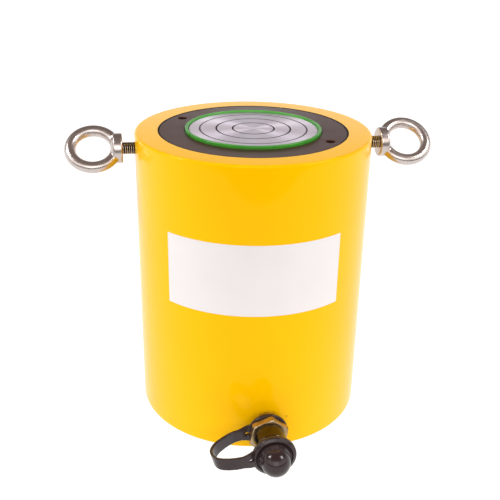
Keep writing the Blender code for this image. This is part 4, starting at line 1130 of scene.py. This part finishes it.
way = FRONT_MIDDLE - REAR_MIDDLE
route = [Vector((-share * REAR_RING_RADIUS, REAR_MIDDLE)) for share in (REAR_ROOT, REAR_LEAVE)]
route += [Vector((-out * LOOP_REACH, REAR_MIDDLE + along * way)) for out, along in FOLD]
route.append(Vector((-FRONT_ROOT * FRONT_RING_RADIUS, FRONT_MIDDLE)))
path = curve_through(route, CURVE_STEPS)
band_mesh = bmesh.new()
bands = []
for index, point in enumerate(path):
    along = (path[min(index + 1, len(path) - 1)] - path[max(index - 1, 0)]).normalized()
    across = Vector((-along.y, along.x)) * BAND_THICKNESS / 2
    rear_half = index < len(path) / 2
    root, ring_radius = (path[0], REAR_RING_RADIUS) if rear_half else (path[-1], FRONT_RING_RADIUS)
    nearness = max(0, 1 - (point - root).length / (NECK_LENGTH * ring_radius))
    wide = BAND_HALF_WIDTH + nearness * NECK_FLARE * ring_radius
    lean = FOLD_LEAN * (point.x / LOOP_REACH) ** 2
    corners = []
    for flat, rise in ((-1, -1), (1, -1), (1, 1), (-1, 1)):
        spot = point + across * flat
        corners.append(band_mesh.verts.new(Vector((spot.x * (1 + rise * lean), rise * wide, spot.y)) * MM))
    bands.append(corners)
strap = add_piece("folded_cap_strap", skin(band_mesh, bands), black_rubber, coupler_place)
REAR_BORE = COUPLER_SHANK_RADIUS + 0.3
REAR_RING_REAR = REAR_RING_FRONT - REAR_RING_THICKNESS
rear_section = section(
    (REAR_BORE, REAR_RING_REAR, 0.2),
    (REAR_RING_RADIUS, REAR_RING_REAR, 0.5),
    (REAR_RING_RADIUS, REAR_RING_FRONT, 0.5),
    (REAR_BORE, REAR_RING_FRONT, 0.2),
)
FRONT_BORE = CAP_GROOVE_RADIUS + 0.3
FRONT_CHAMFER = 0.6
FRONT_RING_FRONT = FRONT_RING_REAR + FRONT_RING_THICKNESS
LIP_FRONT = FRONT_RING_FRONT + LIP_RISE
front_section = section(
    (FRONT_BORE, FRONT_RING_REAR, 0.2),
    (FRONT_RING_RADIUS, FRONT_RING_REAR, 0.8),
    (FRONT_RING_RADIUS, FRONT_RING_FRONT - FRONT_CHAMFER, 0.6),
    (LIP_CREST_RADIUS + 0.5, LIP_FRONT - 0.3, 0.2),
    (LIP_CREST_RADIUS, LIP_FRONT, 0.2),
    (LIP_INNER_RADIUS, LIP_FRONT, 0.2),
    (LIP_INNER_RADIUS, FRONT_RING_FRONT),
    (FRONT_BORE + FRONT_CHAMFER, FRONT_RING_FRONT, 0.1),
    (FRONT_BORE, FRONT_RING_FRONT - FRONT_CHAMFER, 0.1),
)
for ring_section in (rear_section, front_section):
    carve(strap, add_piece("strap_ring", spin(ring_section), black_rubber, coupler_place), "UNION")
SLOT_LENGTH = 4.2
SLOT_HEIGHT = 1.7
SLOT_DEPTH = 12.0
for edge, middle in ((REAR_RING_RADIUS, REAR_MIDDLE), (FRONT_RING_RADIUS, FRONT_MIDDLE)):
    slot_block = bmesh.new()
    bmesh.ops.create_cube(slot_block, size=MM)
    bmesh.ops.scale(slot_block, vec=(SLOT_LENGTH, SLOT_HEIGHT, SLOT_DEPTH), verts=slot_block.verts)
    bmesh.ops.translate(slot_block, vec=Vector((-edge, 0, middle)) * MM, verts=slot_block.verts)
    carve(strap, add_piece("slot_block", slot_block, black_rubber, coupler_place))
melt(strap, RUBBER_GRAIN, RUBBER_PASSES)
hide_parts("cap_strap")
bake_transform(strap)
print(strap.name, "has", len(strap.data.polygons), "faces")

# %% [markdown]
# Two coil springs hide inside: the long one that pulls the plunger down and the small one that closes
# the check valve. A coil is a small circle carried round a helix. Each fills the length of the imported
# spring that it stands for.

# %% Springs
def coil(mean_radius, wire_radius, low, high, turns, steps_per_turn=36, sides=10):
    """A round wire wound round Z between two heights."""
    mesh = bmesh.new()
    rings = []
    steps = turns * steps_per_turn
    for step in range(steps + 1):
        angle = math.tau * step / steps_per_turn
        outward = Vector((math.cos(angle), math.sin(angle), 0))
        height = low + wire_radius + (high - low - 2 * wire_radius) * step / steps
        ring = []
        for side in range(sides):
            turn = math.tau * side / sides
            offset = math.cos(turn) * outward + math.sin(turn) * Vector((0, 0, 1))
            spot = outward * mean_radius + Vector((0, 0, height)) + offset * wire_radius
            ring.append(mesh.verts.new(spot * MM))
        rings.append(ring)
    return skin(mesh, rings)


SPRING_RADIUS, SPRING_WIRE, SPRING_TURNS = 21.0, 2.45, 12
spring_low, spring_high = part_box("return_spring")
return_coil = coil(SPRING_RADIUS, SPRING_WIRE, spring_low.z / MM, spring_high.z / MM, SPRING_TURNS)
spring = add_piece("return_spring_coil", return_coil, spring_steel)
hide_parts("return_spring")
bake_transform(spring)

VALVE_RADIUS, VALVE_WIRE, VALVE_TURNS = 4.3, 0.48, 4
valve_low, valve_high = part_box("valve_spring")
valve_coil = coil(VALVE_RADIUS, VALVE_WIRE, -valve_high.y / MM, -valve_low.y / MM, VALVE_TURNS)
valve_spring = add_piece("valve_spring_coil", valve_coil, spring_steel, coupler_place)
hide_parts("valve_spring")
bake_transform(valve_spring)
print("spring length in mm:", round((spring_high.z - spring_low.z) / MM, 1))

# %% [markdown]
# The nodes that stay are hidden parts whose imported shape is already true: seals, bearing rings, anchors
# and the valve's parts. They only change their finish, one from the list for each.

# %% Finishes of the parts inside
INSIDE_FINISHES = {
    "gland_seal": nitrile_rubber,
    "rod_guide_ring": bearing_bronze,
    "piston_seal": nitrile_rubber,
    "piston_backup_ring": white_ptfe,
    "piston_wear_ring": bearing_bronze,
    "saddle_ring": nitrile_rubber,
    "lower_spring_anchor": machined_steel,
    "upper_spring_anchor": machined_steel,
    "coupler_seal": nitrile_rubber,
    "valve_retainer": machined_steel,
    "coupler_poppet": machined_steel,
}
for node_name, finish in INSIDE_FINISHES.items():
    shape = frame["nodes"][node_name].data
    shape.materials.clear()
    shape.materials.append(finish)
print("inner parts refinished:", len(INSIDE_FINISHES))

# %% [markdown]
# The jack stands on a pale light table: opal sheet lit from below, which takes the shadow away and sends
# light up the wall. Behind it a white sweep rises to about fifteen degrees, with a dim room above, so
# the flat top turns paler towards its far side. In front the table ends, the room is dark near the
# horizon and a broad white screen hangs over the camera: the polished eyes need that run of white, dark
# and white to look like metal. Only light and reflections meet that room. Seen straight, all round, the
# backdrop is plain white. Two soft boxes put the twin highlights on the cap's dome, and their directions
# were worked out from where those highlights lie. A third, broad one beside the camera fills the shade
# that the coupler casts up the wall.

# %% Floor and light
TABLE_HALF_WIDTH = 7.0
TABLE_FRONT = 0.62
TABLE_BACK = 7.0
TABLE_GLOW = 1.04
GRIT_SIZE = 25.0
FLOOR_DROP = 0.2 * MM
ROOM_STRENGTH = 1.7
SWEEP_TOP = math.radians(13.5)
ROOM_START = math.radians(18.0)
CEILING_START = math.radians(30)
CEILING_END = math.radians(46)
FRONT_LOW = math.radians(4)
FRONT_HIGH = math.radians(12)
SWEEP_SIDE, FRONT_SIDE = 0.15, -0.35

floor_mesh = bmesh.new()
for across, along in ((-1, -TABLE_FRONT), (1, -TABLE_FRONT), (1, TABLE_BACK), (-1, TABLE_BACK)):
    floor_mesh.verts.new((across * TABLE_HALF_WIDTH, along, 0))
floor_mesh.faces.new(floor_mesh.verts)
glow = {"Emission Color": linear("#FFFFFF"), "Emission Strength": TABLE_GLOW}
floor_finish, tree, shader, place = start_finish("opal_sheet", "#5F5F5E", 0.0, 0.7, glow)
mottle(tree, shader, place, GRIT_SIZE, 3.0, roughness=(0.65, 0.75))
floor = add_piece("floor", floor_mesh, floor_finish, Matrix.Translation((0, 0, body_low.z - FLOOR_DROP)))
floor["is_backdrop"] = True

world = bpy.data.worlds.new("studio")
world.use_nodes = True
room = world.node_tree
background = room.nodes["Background"]
direction = add_node(room, "SeparateXYZ", {0: add_node(room, "TexCoord").outputs["Generated"]})
height = direction.outputs["Z"]
forward = direction.outputs["Y"]


def room_mix(low, high, start, end, value=height):
    """Run from one colour to another as the direction climbs or turns between two limits."""
    share = add_node(room, "MapRange", {"Value": value, "From Min": start, "From Max": end},
                     interpolation_type="SMOOTHSTEP")
    return colour_mix(room, share.outputs["Result"], low, high)


behind = room_mix(linear("#DADADA"), linear("#746A6A"), math.sin(SWEEP_TOP), math.sin(ROOM_START))
before = room_mix(linear("#413934"), linear("#FFFAF6"), math.sin(FRONT_LOW), math.sin(FRONT_HIGH))
walls = room_mix(behind, before, SWEEP_SIDE, FRONT_SIDE, forward)
mixed = room_mix(walls, linear("#6A5F5A"), math.sin(CEILING_START), math.sin(CEILING_END))
straight = add_node(room, "LightPath").outputs["Is Camera Ray"]
seen = colour_mix(room, straight, mixed, linear("#FFFFFF"))
room.links.new(seen, background.inputs["Color"])
background.inputs["Strength"].default_value = ROOM_STRENGTH
bpy.context.scene.world = world


def soft_box(name, bearing, elevation, distance, size, power):
    """A square soft box aimed at the jack's middle; the bearing turns right from the coupler's side."""
    bearing, elevation = math.radians(bearing), math.radians(elevation)
    level = math.cos(elevation)
    towards = Vector((math.sin(bearing) * level, -math.cos(bearing) * level, math.sin(elevation)))
    lamp = bpy.data.lights.new(name, "AREA")
    lamp.shape = "SQUARE"
    lamp.size = size
    lamp.energy = power
    holder = bpy.data.objects.new(name, lamp)
    holder.location = aim + towards * distance
    holder.rotation_euler = towards.to_track_quat("Z", "Y").to_euler()
    bpy.context.scene.collection.objects.link(holder)


soft_box("left_box", -92, 42, 1.2, 0.28, 6)
soft_box("right_box", 68, 45, 1.4, 0.32, 7)
soft_box("fill_box", -8, 22, 2.0, 1.2, 6)
bpy.context.scene.view_settings.view_transform = "Standard"
print("soft boxes:", [item.name for item in bpy.data.lights])

# %% [markdown]
# The sizes of the imported model and the dressed one are printed side by side. The dressed model may not
# outgrow the imported one.

# %% Sizes and finish
shown_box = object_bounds()
boxes = {"cad": [list(corner) for corner in cad_box], "visual": [list(corner) for corner in shown_box]}
for name, (low, high) in boxes.items():
    print(name, [round((b - a) / MM, 2) for a, b in zip(low, high)])
